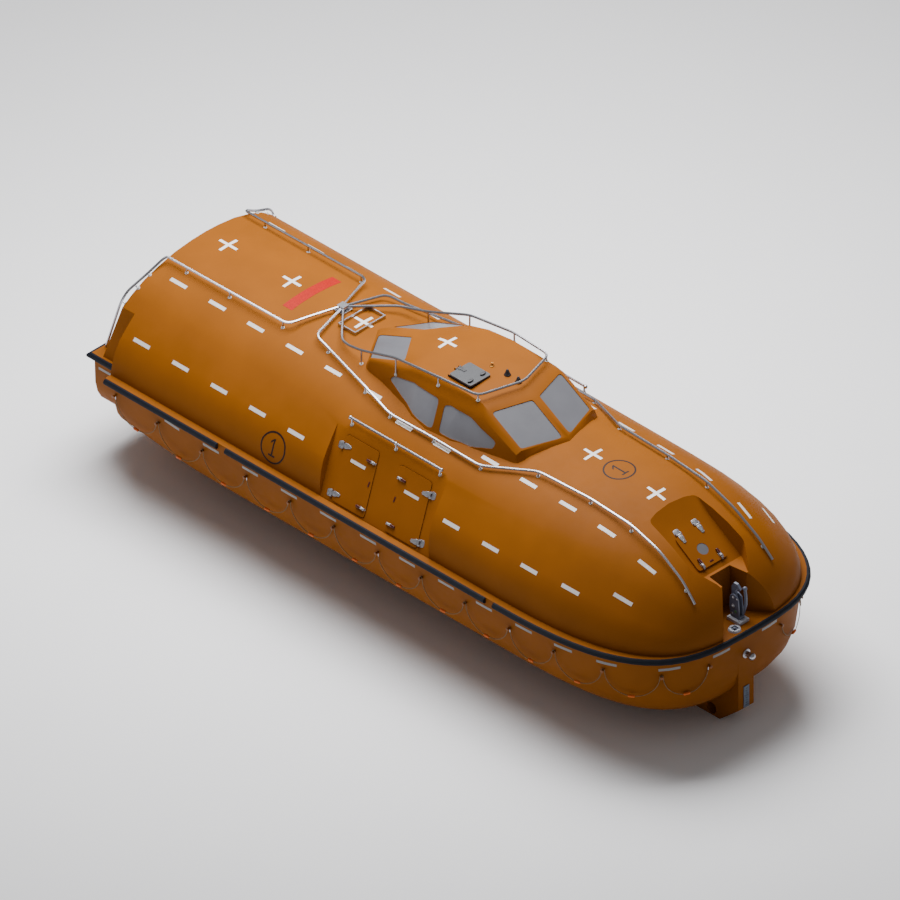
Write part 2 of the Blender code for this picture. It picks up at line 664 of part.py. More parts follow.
def hinge_lugs(frame, parts):
    """Two lugs that hold a hinge's barrel between them."""
    top = HINGE_OUT + BARREL
    lugs = []
    for low in (-BARREL_HALF - GAP - 0.022, BARREL_HALF + GAP):
        lugs.append(box("lug", (low, -0.034, -0.010), (low + 0.022, 0.010, top), parts, frame))
    return lugs


def hinge_strap(frame, face, parts):
    """Barrel and strap of a hinge, seated on the leaf's outer face at the height given."""
    start = frame @ Vector((-BARREL_HALF, 0, HINGE_OUT))
    end = frame @ Vector((BARREL_HALF, 0, HINGE_OUT))
    barrel = rod("barrel", start, end, BARREL, parts)
    reach = BARREL_HALF - 0.002
    strap = box("strap", (-reach, 0.0, max(0.006, face - 0.012)),
                (reach, STRAP_END, max(face, HINGE_OUT) + 0.004), parts, frame)
    pad = box("pad", (-reach + 0.002, HINGE_OFF + 0.004, face - 0.004),
              (reach - 0.002, STRAP_END - 0.002, face + 0.008), parts, frame)
    return barrel, strap, pad


def build_door(name, side, aft, fore, hinged, parts):
    """Side door: a flat leaf with two hinge straps and two latch handles."""
    leaf = prism(name, door_outline(aft, fore, 0.0), -DOOR_THICK, DOOR_PROUD,
                 lambda a, b, d: bay_point(side, a, b, d), parts)
    extras = []
    for place in HINGE_PLACES:
        extras += hinge_strap(door_hinge_frame(side, aft, fore, hinged, place), DOOR_PROUD, parts)
    for place in LATCH_PLACES:
        free = aft + LATCH_IN if hinged > 0 else fore - LATCH_IN
        up = DOOR_FOOT + place * (DOOR_HEAD - DOOR_FOOT)
        origin = bay_point(side, free, up, DOOR_PROUD)
        along = bay_point(side, free + hinged, up, DOOR_PROUD) - origin
        outward = bay_point(side, free, up, 1.0) - origin
        frame = axes_frame(origin, along, outward)
        extras.append(box("latch", (-0.070, -0.016, -0.004), (0.080, 0.016, 0.026), parts, frame))
    fuse(leaf, *extras)
    pivot = door_hinge_frame(side, aft, fore, hinged, 0.5) @ Vector((0, 0, HINGE_OUT))
    return finish(leaf, "orange", pivot)


def slope_point(across, along, out):
    """World point from a place on the bow recess's slope."""
    start = Vector((PAN_PROFILE[1][0], 0.0, PAN_PROFILE[1][1]))
    end = Vector((PAN_PROFILE[2][0], 0.0, PAN_PROFILE[2][1]))
    slope = (end - start).normalized()
    normal = Vector((-slope.z, 0.0, slope.x))
    return start + slope * along + normal * out + Vector((0.0, across, 0.0))


def hatch_outline(margin):
    low, high = HATCH_SPAN
    half = HATCH_HALF - margin
    corners = ((-half, low + margin), (half, low + margin), (half, high - margin), (-half, high - margin))
    return rounded(corners, 0.06)


def hatch_hinge_frame(y):
    origin = slope_point(y, HATCH_SPAN[0] - HINGE_OFF, 0.0)
    outward = slope_point(y, HATCH_SPAN[0] - HINGE_OFF, 1.0) - origin
    return axes_frame(origin, (0, -1, 0), outward)


def build_bow_hatch(parts):
    """Sloping hatch in the bow recess, with a round window in it."""
    lid = prism("bow_hatch", hatch_outline(0.0), SEAT, HATCH_THICK, slope_point, parts)
    extras = []
    for y in HATCH_HINGES:
        extras += hinge_strap(hatch_hinge_frame(y), HATCH_THICK, parts)
        frame = hatch_hinge_frame(y)
        low, high = HATCH_LATCH
        extras.append(box("latch", (-0.02, low, HATCH_THICK - 0.004), (0.02, high, HATCH_THICK + 0.03), parts,
                          frame))
    fuse(lid, *extras)
    hole = rod("hole", slope_point(0, HATCH_EYE, -0.1), slope_point(0, HATCH_EYE, 0.1),
               HATCH_EYE_RADIUS + GAP, parts, 24)
    cut(lid, hole)
    pane = rod("bow_hatch_window", slope_point(0, HATCH_EYE, 0.004), slope_point(0, HATCH_EYE, 0.020),
               HATCH_EYE_RADIUS, parts, 24)
    pivot = hatch_hinge_frame(0.0) @ Vector((0, 0, HINGE_OUT))
    finish(pane, "glass")
    return finish(lid, "orange", pivot)


def wheelhouse_volume(name, parts, inset):
    """Solid inside the wheelhouse's skin, moved in by inset."""
    rings = []
    for x, sweep, crown, edge_y, edge_z, shoulder_y, shoulder_z, foot_y in WHEELHOUSE_RINGS:
        x0 = x - inset * 1.6 if x > 0.5 else x + inset * 1.6
        drop = inset * 1.05
        half = [(0.0, crown - drop), (edge_y * 0.5, (crown * 0.72 + edge_z * 0.28) - drop),
                (edge_y - inset * 0.5, edge_z - drop), (shoulder_y - inset, shoulder_z - inset * 0.6),
                (foot_y - inset * 1.12, WHEELHOUSE_FOOT)]
        ring = [(x0 - sweep * y, y, z) for y, z in half]
        rings.append(ring + [(a, -b, c) for a, b, c in reversed(ring[1:])])
    return loft(name, rings, parts)


def window_prisms(parts, margin):
    """Name and solid of each wheelhouse window."""
    tools = []
    for name, side in SIDES:
        plan = (("front_window_", FRONT_WINDOW), ("rear_window_", REAR_WINDOW))
        for prefix, outline in plan:
            shape = rounded(shrunk(outline, margin), 0.05)
            tools.append((prefix + name, prism(prefix + name, shape, 2.462, 3.2,
                                               lambda a, b, d, s=side: (a, s * b, d), parts)))
        profile = (("side_aft_window_", SIDE_AFT_WINDOW), ("side_fore_window_", SIDE_FORE_WINDOW))
        for prefix, outline in profile:
            shape = rounded(shrunk(outline, margin), 0.07)
            tools.append((prefix + name, prism(prefix + name, shape, 0.55, 1.5,
                                               lambda a, b, d, s=side: (a, s * d, b), parts)))
    return tools


def build_wheelhouse(parts):
    """Raised steering position over an opening in the canopy, with its panes and roof hatch."""
    house = wheelhouse_volume("wheelhouse", parts, 0.0)
    coaming = box("coaming", (0.215, -0.615, 2.86), (0.685, -0.205, 2.992), parts)
    fuse(house, coaming)
    cut(house, canopy_volume("under", parts, SEAT))
    cut(house, wheelhouse_volume("inner", parts, WHEELHOUSE_WALL))
    cut(house, *[tool for name, tool in window_prisms(parts, 0.0)])
    hole = box("hole", (0.265, -0.565, 2.7), (0.635, -0.255, 3.2), parts)
    cut(house, hole)
    fuse(house, *hinge_lugs(roof_hinge_frame(), parts))
    finish(house, "orange")
    for name, pane in window_prisms(parts, GAP):
        skin = wheelhouse_volume("skin", parts, PANE_INSET)
        core = wheelhouse_volume("core", parts, PANE_INSET + PANE_THICK)
        keep_inside(pane, skin)
        cut(pane, core, canopy_volume("under", parts, SEAT))
        finish(pane, "glass")
    return house


def roof_hinge_frame():
    return axes_frame((0.225, -0.41, 2.992), (0, -1, 0), (0, 0, 1))


def build_roof_hatch(parts):
    """Square lid on the wheelhouse roof, hinged at its after edge."""
    base = 2.992 + GAP
    outline = rounded(((0.245, -0.625), (0.695, -0.625), (0.695, -0.195), (0.245, -0.195)), 0.04)
    lid = prism("roof_hatch", outline, base, base + 0.026, lambda a, b, d: (a, b, d), parts)
    strap = hinge_strap(roof_hinge_frame(), 0.026, parts)
    handles = []
    for y in (-0.54, -0.28):
        handles.append(box("handle", (0.59, y - 0.03, base + 0.02), (0.63, y + 0.03, base + 0.05), parts))
    fuse(lid, *strap, *handles)
    pivot = roof_hinge_frame() @ Vector((0, 0, HINGE_OUT))
    return finish(lid, "lid", pivot)


def fender_ring(point, outward):
    """D-shaped rubber section standing on the ledge's edge."""
    return [(point[0] + outward[0] * a, point[1] + outward[1] * a, FENDER_Z + b) for a, b in FENDER_SECTION]


def fender_path(points):
    """Fender sections along a plan path, mitred at its corners."""
    runs = [(Vector(b) - Vector(a)).normalized() for a, b in zip(points, points[1:])]
    sides = [Vector((run.y, -run.x)) for run in runs]
    rings = []
    for point, before, after in zip(points, [sides[0]] + sides, sides + [sides[-1]]):
        outward = (before + after) / (1 + before.dot(after))
        rings.append(fender_ring(point, outward))
    return rings


def build_fenders(parts):
    """Rubber fender: a bow length, two lengths on each side and one round the stern."""
    edge = LEDGE_HALF
    first = Vector((BOW_START, edge))
    run = Vector(bow_curve((BOW_STEPS - 1) / BOW_STEPS, edge, LEDGE_REACH)) - first
    mid_end = first + run * ((FENDER_GAPS[1] - FENDER_GAP_HALF - first.x) / run.x)
    bow_start = first + run * ((FENDER_GAPS[1] + FENDER_GAP_HALF - first.x) / run.x)
    for name, side in SIDES:
        aft = [(STEP_X + 0.02, edge), (FENDER_GAPS[0] - FENDER_GAP_HALF, edge)]
        mid = [(FENDER_GAPS[0] + FENDER_GAP_HALF, edge), tuple(first), tuple(mid_end)]
        for label, path in (("fender_aft_", aft), ("fender_mid_", mid)):
            path = [(x, side * y) for x, y in path]
            if side > 0:
                path.reverse()
            finish(loft(label + name, fender_path(path), parts), "rubber")
    bow = [(bow_start.x, -bow_start.y)]
    for k in range(BOW_STEPS - 1, -BOW_STEPS, -1):
        x, y = bow_curve(abs(k) / BOW_STEPS, edge, LEDGE_REACH)
        bow.append((x, -y if k > 0 else y))
    bow.append(tuple(bow_start))
    finish(loft("fender_bow", fender_path(bow), parts), "rubber")
    half = LEDGE_HALF - QUARTER_STEP
    stern = [(STEP_X - 0.03, half), (STERN_X, half), (STERN_X, -half), (STEP_X - 0.03, -half)]
    finish(loft("fender_stern", fender_path(stern), parts), "rubber")


def smooth_path(points, radius, steps=4):
    """Open path with its corners rounded."""
    path = [Vector(points[0])]
    for before, here, after in zip(points, points[1:], points[2:]):
        here = Vector(here)
        back = Vector(before) - here
        ahead = Vector(after) - here
        reach = min(radius, back.length * 0.45, ahead.length * 0.45)
        start = here + back.normalized() * reach
        end = here + ahead.normalized() * reach
        for k in range(steps + 1):
            t = k / steps
            path.append((1 - t) ** 2 * start + 2 * t * (1 - t) * here + t * t * end)
    path.append(Vector(points[-1]))
    return path


def nearest(path, place):
    """Point of a path that is closest to a place."""
    best = None
    for a, b in zip(path, path[1:]):
        run = b - a
        t = min(max((Vector(place) - a).dot(run) / run.length_squared, 0.0), 1.0)
        point = a + run * t
        if best is None or (point - Vector(place)).length < (best - Vector(place)).length:
            best = point
    return best


def tube(name, points, radius, parts, resolution=1):
    """Round bar along a path, as a mesh whose caps are welded."""
    curve = bpy.data.curves.new(name, "CURVE")
    curve.dimensions = "3D"
    curve.bevel_depth = radius
    curve.bevel_resolution = resolution
    curve.use_fill_caps = True
    spline = curve.splines.new("POLY")
    spline.points.add(len(points) - 1)
    for target, point in zip(spline.points, points):
        target.co = (*point, 1.0)
    bar = bpy.data.objects.new(name, curve)
    parts.objects.link(bar)
    bpy.context.view_layer.update()
    mesh = bpy.data.meshes.new_from_object(bar.evaluated_get(bpy.context.evaluated_depsgraph_get()))
    place = bar.matrix_world.copy()
    bpy.data.objects.remove(bar, do_unlink=True)
    bm = bmesh.new()
    bm.from_mesh(mesh)
    bmesh.ops.remove_doubles(bm, verts=bm.verts, dist=0.00001)
    made = add_object(name, bm, parts)
    made.matrix_world = place
    return made


def rail(name, points, posts, parts, radius=0.12, trims=()):
    """Hand rail with its posts, their feet trimmed to the skin; a post is a place and its reach."""
    path = smooth_path(points, radius)
    bar = tube(name, path, RAIL_RADIUS, parts)
    legs = []
    for place, reach in posts:
        top = nearest(path, place)
        legs.append(rod("leg", top, top + Vector(reach), POST_RADIUS, parts, 8))
    fuse(bar, *legs)
    cut(bar, seat_volume(parts))
    for trim in trims:
        cut(bar, trim(parts))
    return finish(bar, "steel")


def mirrored(points, side):
    """Points of the port side, on the side asked for."""
    return [(x, side * y, z) for x, y, z in points]


def hub_trim(parts):
    half = HUB_HALF + GAP
    return box("hub_trim", (HUB_X - half, -half, 2.30), (HUB_X + half, half, HUB_SPAN[1] + 0.1), parts)


def house_trim(parts):
    return wheelhouse_volume("house_trim", parts, -0.002)


def build_rails(parts):
    """Rails of the roof, the sides and the after corners, all in bent steel tube."""
    low, high = HUB_SPAN
    half, thick = HUB_FOOT
    under = canopy_volume("under", parts, SEAT)
    hub = box("rail_hub", (HUB_X - HUB_HALF, -HUB_HALF, low), (HUB_X + HUB_HALF, HUB_HALF, high), parts)
    column = rod("column", (HUB_X, 0, UNDER_ROOF), (HUB_X, 0, low + 0.01), 0.035, parts, 16)
    foot = box("foot", (HUB_X - half, -half, UNDER_ROOF),
               (HUB_X + half, half, DECK_Z + CANOPY_HEIGHT + thick), parts)
    fuse(hub, column, foot)
    cut(hub, under)
    finish(hub, "steel")
    for name, side in SIDES:
        aft = ((-5.905, 1.66, 0.90), (-5.64, 1.60, 1.85), (-5.61, 1.49, 2.02), (-5.555, 1.165, 2.17),
               (-5.475, 0.89, 2.36), (-5.445, 0.82, 2.395), (-4.90, 0.82, 2.40), (-2.92, 0.82, 2.43),
               (-2.82, 0.54, 2.46), (-2.62, 0.04, 2.505))
        posts = [((x, side * 0.82, 2.41), POST_DOWN) for x in (-5.04, -4.14, -3.03)]
        reach = mirrored([POST_IN], side)[0]
        posts += [((-5.6, side * y, z), reach) for y, z in ((1.58, 1.87), (1.36, 2.08), (1.12, 2.20))]
        rail("aft_rail_" + name, mirrored(aft, side), posts, parts, trims=(hub_trim, deck_trim))
        outer = ((-2.58, 0.04, 2.505), (-2.42, 0.74, 2.44), (-2.10, 0.80, 2.40), (-1.07, 1.06, 2.345),
                 (-0.42, 1.20, 2.25), (0.49, 1.19, 2.257), (1.47, 1.20, 2.25), (2.33, 0.84, 2.40),
                 (3.38, 0.80, 2.41), (4.22, 0.79, 2.35), (4.80, 0.78, 2.165), (5.30, 0.79, 1.87),
                 (5.57, 0.81, 1.60))
        posts = [(point, POST_DOWN) for point in mirrored(outer[2:10] + ((5.37, 0.797, 1.80),), side)]
        rail("outer_rail_" + name, mirrored(outer, side), posts, parts, trims=(hub_trim, house_trim))
        grip = ((-0.93, 1.505, 2.08), (0.97, 1.505, 2.08))
        posts = [((x, side * 1.505, 2.08), POST_DOWN) for x in (-0.90, 0.02, 0.94)]
        rail("door_rail_" + name, mirrored(grip, side), posts, parts)
    half = ((-2.56, 0.03, 2.505), (-2.12, 0.50, 2.50), (-2.00, 0.61, 2.50), (-1.82, 0.66, 2.52),
            (-1.51, 0.70, 2.60), (-0.72, 0.775, 2.90), (0.19, 0.797, 3.02), (0.963, 0.74, 3.04),
            (1.20, 0.0, 3.06))
    points = mirrored(half, -1) + [(x, y, z) for x, y, z in reversed(half[:-1])]
    posts = [((x, side * y, z), POST_DOWN) for x, y, z in half[4:8] for name, side in SIDES]
    rail("roof_rail", points, posts, parts, trims=(hub_trim, house_trim))


def deck_trim(parts):
    return box("deck_trim", (-6.2, -2.3, 0.6), (-5.4, 2.3, DECK_Z + GAP), parts)


def grab_route(first, last):
    """Plan line of the side and one rope's places on it: distance along and height.

    The rope turns over each peg in a half circle and hangs from peg to peg in half an ellipse.
    """
    line = side_line()
    pegs = [along_at(line, x) for x in GRAB_PEGS[first:last + 1]]
    turn = PEG_RADIUS + GRAB_RADIUS + TURN_SLACK
    places = []
    for near, far in zip(pegs, pegs[1:]):
        if places:
            for k in range(1, TURN_STEPS):
                angle = math.pi * k / TURN_STEPS
                places.append((near - turn * math.cos(angle), GRAB_Z + turn * math.sin(angle)))
        middle = (near + far) / 2
        half = (far - near) / 2 - turn
        for k in range(GRAB_STEPS + 1):
            angle = math.pi * k / GRAB_STEPS
            places.append((middle - half * math.cos(angle), GRAB_Z - GRAB_SAG * math.sin(angle)))
    return line, places


def build_grab_lines(parts):
    """Grab lines along both sides of the hull, in rope, each from peg to peg."""
    for name, side in SIDES:
        for number, (first, last) in enumerate(GRAB_LENGTHS, 1):
            line, places = grab_route(first, last)
            points = []
            for along, z in places:
                point = on_line(line, along)[0]
                points.append(Vector((point.x, side * point.y, z)))
            rope = tube("grab_line_%s_%d" % (name, number), points, GRAB_RADIUS, parts, 2)
            finish(rope, "rope")


def build_hook(name, x, lean, parts):
    """Release hook: two cheeks and a bent arm on a foot plate, with a tongue that swings between them."""
    base = DECK_Z + GAP
    half_x, half_y, thick = HOOK_FOOT
    foot = box(name + "_base", (x - half_x, -half_y, base), (x + half_x, half_y, base + thick), parts)
    cheeks = []
    for y in (-0.050, 0.030):
        cheeks.append(prism("cheek", rounded(HOOK_CHEEK, 0.05), y, y + 0.020,
                            lambda a, b, d: (x + lean * a, d, base + b), parts))
    web = box("web", (x - 0.08, -0.045, base + thick - 0.01), (x + 0.08, 0.045, base + 0.10), parts)
    line = [Vector((x + lean * a, HOOK_ARM_SIDE, base + b)) for a, b in HOOK_ARM]
    arm = tube("arm", line, 0.026, parts)
    knob = ball("knob", line[-1], 0.036, parts)
    fuse(foot, web, arm, knob, *cheeks)
    finish(foot, "iron")
    pivot = (x + lean * 0.05, 0.0, base + 0.25)
    tongue = prism(name + "_tongue", HOOK_TONGUE, -0.020, 0.020,
                   lambda a, b, d: (pivot[0] + lean * a, d, pivot[2] + b), parts)
    boss = rod("boss", (pivot[0], -0.030 + GAP, pivot[2]), (pivot[0], 0.030 - GAP, pivot[2]), 0.034,
               parts, 16)
    fuse(tongue, boss)
    finish(tongue, "iron", pivot)


def build_drive(parts):
    """Engine, shaft with its propeller, and the steering nozzle."""
    finish(box("engine", ENGINE_LOW, ENGINE_HIGH, parts), "lid")
    aft = Vector((PROP_X - 0.09, 0, PROP_Z - SHAFT_RISE * 0.09))
    fore = Vector((SHAFT_END_X, 0, PROP_Z + SHAFT_RISE * (SHAFT_END_X - PROP_X)))
    axis = (fore - aft).normalized()
    centre = Vector((PROP_X, 0, PROP_Z))
    shaft = rod("propeller", aft, fore, SHAFT_RADIUS, parts, 24)
    hub = rod("hub", centre - axis * 0.08, centre + axis * 0.07, 0.05, parts, 20)
    blades = []
    for k in range(4):
        spin = Matrix.Rotation(k * math.pi / 2, 4, axis)
        frame = Matrix.Translation(centre) @ spin @ Matrix.Rotation(math.radians(BLADE_PITCH), 4, "Z")
        outline = BLADE + tuple((-a, b) for a, b in reversed(BLADE))
        blades.append(prism("blade", outline, -0.006, 0.006, lambda a, b, d: frame @ Vector((a, d, b)),
                            parts))
    fuse(shaft, hub, *blades)
    finish(shaft, "bronze", centre)

    ring = rod("nozzle", (PROP_X - NOZZLE_HALF, 0, PROP_Z), (PROP_X + NOZZLE_HALF, 0, PROP_Z),
               NOZZLE_RADIUS - 0.012, parts, 32, NOZZLE_RADIUS)
    bore = rod("bore", (PROP_X - 0.3, 0, PROP_Z), (PROP_X + 0.3, 0, PROP_Z), NOZZLE_BORE, parts, 32)
    stock = rod("stock", (PROP_X, 0, PROP_Z + 0.20), (PROP_X, 0, 0.0), 0.035, parts, 24)
    fuse(ring, stock)
    cut(ring, bore)
    finish(ring, "steel", (PROP_X, 0, PROP_Z))


def build_small_fittings(parts):
    """Stem strip, painter ring, deck ring, roof lamp, vents and the roof frame."""
    finish(box("stem_strip", (5.825 + GAP, -0.055, -0.52), (5.838, 0.055, -0.14), parts), "steel")
    nose = BOW_START + SIDE_REACH + GAP
    boss = rod("painter_boss", (nose, 0, 0.44), (nose + 0.10, 0, 0.44), 0.045, parts, 16)
    fuse(boss, ball("knob", (nose + 0.11, 0, 0.44), 0.06, parts))
    finish(boss, "steel")
    place = Vector((RING_PLACE[0], RING_PLACE[1], DECK_Z + GAP))
    rise = Vector((0, 0, RING_THICK))
    ring = rod("deck_ring", place, place + rise, RING_RADIUS, parts, 28, RING_RADIUS - 0.012)
    cut(ring, rod("dish", place + rise * 0.36, place + rise * 2, RING_DISH, parts, 28))
    finish(ring, "steel")
    lamp = rod("roof_light", (LAMP_X, 0, 2.9), (LAMP_X, 0, 3.05), 0.022, parts, 12)
    cut(lamp, wheelhouse_volume("trim", parts, -SEAT))
    finish(lamp, "bronze")
    for name, x in ROOF_VENTS:
        vent = rod(name, (x, 0, 2.9), (x, 0, 3.09), 0.05, parts, 12, 0.02)
        cut(vent, wheelhouse_volume("trim", parts, -SEAT))
        finish(vent, "black")
    frame = box("roof_frame", (-2.38, -0.32, 2.30), (-2.02, 0.32, 2.475), parts)
    cut(frame, box("inner", (-2.36, -0.30, 2.2), (-2.04, 0.30, 2.6), parts))
    cut(frame, canopy_volume("under", parts, SEAT))
    finish(frame, "steel")


def main():
    clear_scene()
    parts = make_collection("enclosed_lifeboat")
    build_hull(parts)
    build_canopy(parts)
    build_wheelhouse(parts)
    for name, side in SIDES:
        for door, aft, fore, hinged in DOORS:
            build_door(door + "_" + name, side, aft, fore, hinged, parts)
    build_bow_hatch(parts)
    build_roof_hatch(parts)
    build_fenders(parts)
    build_rails(parts)
    build_hook("fore_hook", 5.655, -1, parts)
    build_hook("aft_hook", -5.66, 1, parts)
    build_drive(parts)
    build_small_fittings(parts)
    build_grab_lines(parts)


if __name__ == "__main__":
    main()
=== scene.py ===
"""Dresses an enclosed lifeboat: finishes, windows, tapes, numbers, latches, hooks and grab lines.

Metres. X runs forward, Y to port, Z up. The origin is amidships on the centreline at the waterline.
"""
import json
import math

import bmesh
import bpy
from bpy.props import FloatProperty, FloatVectorProperty, PointerProperty
from bpy.types import Operator, Panel, PropertyGroup
from mathutils import Matrix, Vector
from mathutils.bvhtree import BVHTree

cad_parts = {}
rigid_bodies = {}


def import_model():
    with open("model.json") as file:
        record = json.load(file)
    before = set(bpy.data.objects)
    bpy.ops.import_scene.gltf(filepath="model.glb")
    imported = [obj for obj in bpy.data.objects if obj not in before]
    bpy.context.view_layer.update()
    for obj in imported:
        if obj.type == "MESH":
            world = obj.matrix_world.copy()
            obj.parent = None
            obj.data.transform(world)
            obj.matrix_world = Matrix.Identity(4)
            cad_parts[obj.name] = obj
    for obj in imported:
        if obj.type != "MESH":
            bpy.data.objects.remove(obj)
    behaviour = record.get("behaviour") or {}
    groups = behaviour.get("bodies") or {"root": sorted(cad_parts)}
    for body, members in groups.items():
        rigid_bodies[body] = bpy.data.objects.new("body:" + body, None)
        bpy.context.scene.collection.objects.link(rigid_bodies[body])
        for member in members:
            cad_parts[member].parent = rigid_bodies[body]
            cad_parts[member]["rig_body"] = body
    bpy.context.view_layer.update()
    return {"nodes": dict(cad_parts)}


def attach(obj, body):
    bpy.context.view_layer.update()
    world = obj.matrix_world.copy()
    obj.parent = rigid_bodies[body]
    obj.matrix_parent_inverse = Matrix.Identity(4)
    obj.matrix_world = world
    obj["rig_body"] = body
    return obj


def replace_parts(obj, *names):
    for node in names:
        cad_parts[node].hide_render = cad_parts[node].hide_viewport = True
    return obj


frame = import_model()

bl_info = {
    "name": "Enclosed Lifeboat",
    "version": (1, 0, 0),
    "blender": (4, 5, 0),
    "location": "3D View > Sidebar > Lifeboat",
    "description": "Finishes, markings and fittings of a totally enclosed lifeboat",
    "category": "Object"}

SIDES = (("starboard", -1), ("port", 1))
CELL = 0.03                 # longest edge of a sheet that follows the skin
REACH = 0.40                # how far off the skin a sheet's points start
FAR = 8.0                   # a ray's start, clear of the boat on every side
GLUE = 0.0004               # between the skin and what is stuck on it

# Stage: the camera's aim off the origin, across and up the picture, its distance, the floor and the key light
VIEW_MIDDLE = (-0.2541, 0.9823)
CAMERA_BACK = 30.0
FLOOR_HALF = 150.0
KEY_PLACE = (-4.0, 2.5, 15.5)
KEY_SIZE = (15.0, 12.0)

# Reflective tapes: X of each, then Y of the upper rows and Z of the others
UPPER_TAPES = (-5.008, -4.199, -3.399, -2.586, -1.777, -0.943, -0.12, 0.674, 1.498, 2.301, 3.125, 3.932,
               4.776)
UPPER_TAPE_OUT = 1.02
RAIL_TAPE_OUT = 1.20        # beside the door bay the row runs outside the rail
RAIL_TAPES = (-0.12, 0.674)
LOWER_TAPES = (-4.949, -4.133, -3.320, -2.512, -1.699, 1.559, 2.378, 3.176, 3.978, 4.772)
LOWER_TAPE_Z = 1.58
LOWER_BOW_TAPE_Z = 1.645    # forward of BOW_TAPES_FROM
BOW_TAPES_FROM = 4.5
HULL_TAPES = (-5.682, -4.900, -4.050, -3.219, -2.398, -1.581, -0.765, 0.070, 0.885, 1.700, 2.491, 3.307,
              4.070, 4.803, 5.569)
HULL_TAPE_Z = 0.69
HULL_TAPE_SHARE = 0.75      # the hull's tapes are narrower
NOSE_TAPE_OUT = 0.50
DOOR_TAPE = (0.30, 0.05)
DOOR_TAPE_UP = 0.71         # up the door bay's panel

# White crosses on the centreline
CROSSES = (-4.99, -3.66, -2.162, -0.41, 2.63, 3.95)

# Ringed numbers: X and Z of the ones on the flanks, X of the one on the foredeck; the patch's place and size
FLANK_NUMBER = (-2.0, 1.27)
DECK_NUMBER = 3.18
PATCH_PLACE = (-3.27, 0.03)
PATCH_SIZE = (1.04, 0.19)

# Door bay: a flat panel let into each flank, its ends leaning aft by LEAN per metre of panel
BAY_FOOT = (2.125, 0.96)
BAY_HEAD = (1.551, 1.929)
LEAN = 0.173
# Doors: name, aft edge, forward edge, hinged edge as +1 forward or -1 aft, place of the tape on the leaf
DOORS = (("aft_door", -0.715, -0.042, -1, -0.507), ("forward_door", 0.385, 1.057, 1, 0.608))
DOOR_SPAN = (0.036, 1.033)  # the leaf's foot and head up the panel
DOOR_PROUD = 0.012
HINGE_PLACES = (0.10, 0.82)  # shares of the door's height
LATCH_PLACES = (0.12, 0.81)
LATCH_IN = 0.095            # from the free edge to the middle of a latch
HINGE_OFF = 0.020           # from the leaf's edge to the pin
MARK_IN = 0.055             # from the free edge to the middle of the red mark
MARK_UP = 0.49              # share of the door's height
# Zones that are metal, in a hinge's or a latch's frame: low and high corner
LUG_ZONE = ((-0.056, -0.036, 0.0005), (0.056, 0.012, 0.03))
KNUCKLE_ZONE = (-0.032, -0.014, -0.01)
STRAP_ZONE = ((-0.032, 0.019, 0.0125), (0.032, 0.152, 0.03))
LATCH_ZONE = ((-0.072, -0.018, 0.0005), (0.082, 0.018, 0.03))

# Bow hatch: the recess's slope in side view, the pin's place down the slope and the hinges' offsets
SLOPE = ((4.44, 2.165), (5.22, 1.65))
HATCH_PIN = 0.195
HATCH_FACE = 0.024
HATCH_STRAP_ZONE = ((-0.032, 0.019, HATCH_FACE + 0.0005), (0.032, 0.62, 0.06))
HATCH_HINGES = (-0.19, 0.19)
HATCH_LATCH_DOWN = 0.560    # from the pin
HATCH_MARK_DOWN = 0.585

# Wheelhouse hatch: its coaming's top, hinge, handles and the corners of its seal; the vents and the light
ROOF_TOP = 2.992
ROOF_HINGE = (0.225, -0.41)
ROOF_HANDLES = (-0.54, -0.28)
HANDLE_X = 0.610
HANDLE_FOOT = 0.0268        # the lid's upper side over the coaming
ROOF_SEAL = ((0.209, -0.621, 2.955), (0.691, -0.199, 2.9915))
ROOF_VENTS = (("roof_vent_aft", 0.84), ("roof_vent_fore", 1.07))
ROOF_LIGHT = 0.52
# Zones over the coaming's top, and the wheelhouse's hinge lug round ROOF_HINGE
HANDLE_ZONE = ((0, -1, HANDLE_FOOT), (1, 0, 0.06))
ROOF_LEAF_ZONE = ((0, -1, -0.01), (0.244, 0, 0.06))
ROOF_LUG_ZONE = ((-0.015, -0.056, 0.0005), (0.036, 0.056, 0.03))

# Posts of the rails seen from above, with mirrored Y, and the stand-offs aft with a ray toward the skin
POSTS = ((-5.040, 0.820), (-4.140, 0.820), (-3.031, 0.819), (-2.100, 0.802), (-1.070, 1.059), (-0.419, 1.193),
         (0.490, 1.191), (1.467, 1.188), (2.333, 0.850), (3.380, 0.801), (4.219, 0.790), (5.370, 0.797),
         (-0.900, 1.505), (0.020, 1.505), (0.940, 1.505), (-1.511, 0.699), (-0.718, 0.773), (0.190, 0.794),
         (0.942, 0.714))
STERN_POSTS = ((-5.636, 1.577, 1.877), (-5.588, 1.362, 2.079), (-5.544, 1.131, 2.196))
STERN_POST_RAY = (0.12, 0.035, -0.07)
DOOR_RAIL = ((-0.93, 0.02, 0.97), 1.505, 2.08)  # X of its balls, Y and Z

# Hooks: X of the base's middle and the direction of its lean
DECK = 0.9654               # upper side of the end decks
HOOKS = ((5.655, -1), (-5.66, 1))
CHEEK = 0.050               # from the centreline to a cheek's outside, and the base plate's thickness
# Pins through the cheeks: forward or aft, height, scale
HOOK_PINS = ((0.05, 0.25, 1.25), (0.05, 0.40, 0.9), (0.065, 0.115, 0.8), (-0.03, 0.40, 0.7))
HOOK_BOLTS = (0.105, 0.074)
HOOK_TAG_UP = 0.165
RING = (5.80, -0.215)
RING_BOLTS = (0.077, 0.028)  # radius of their circle and height of their feet
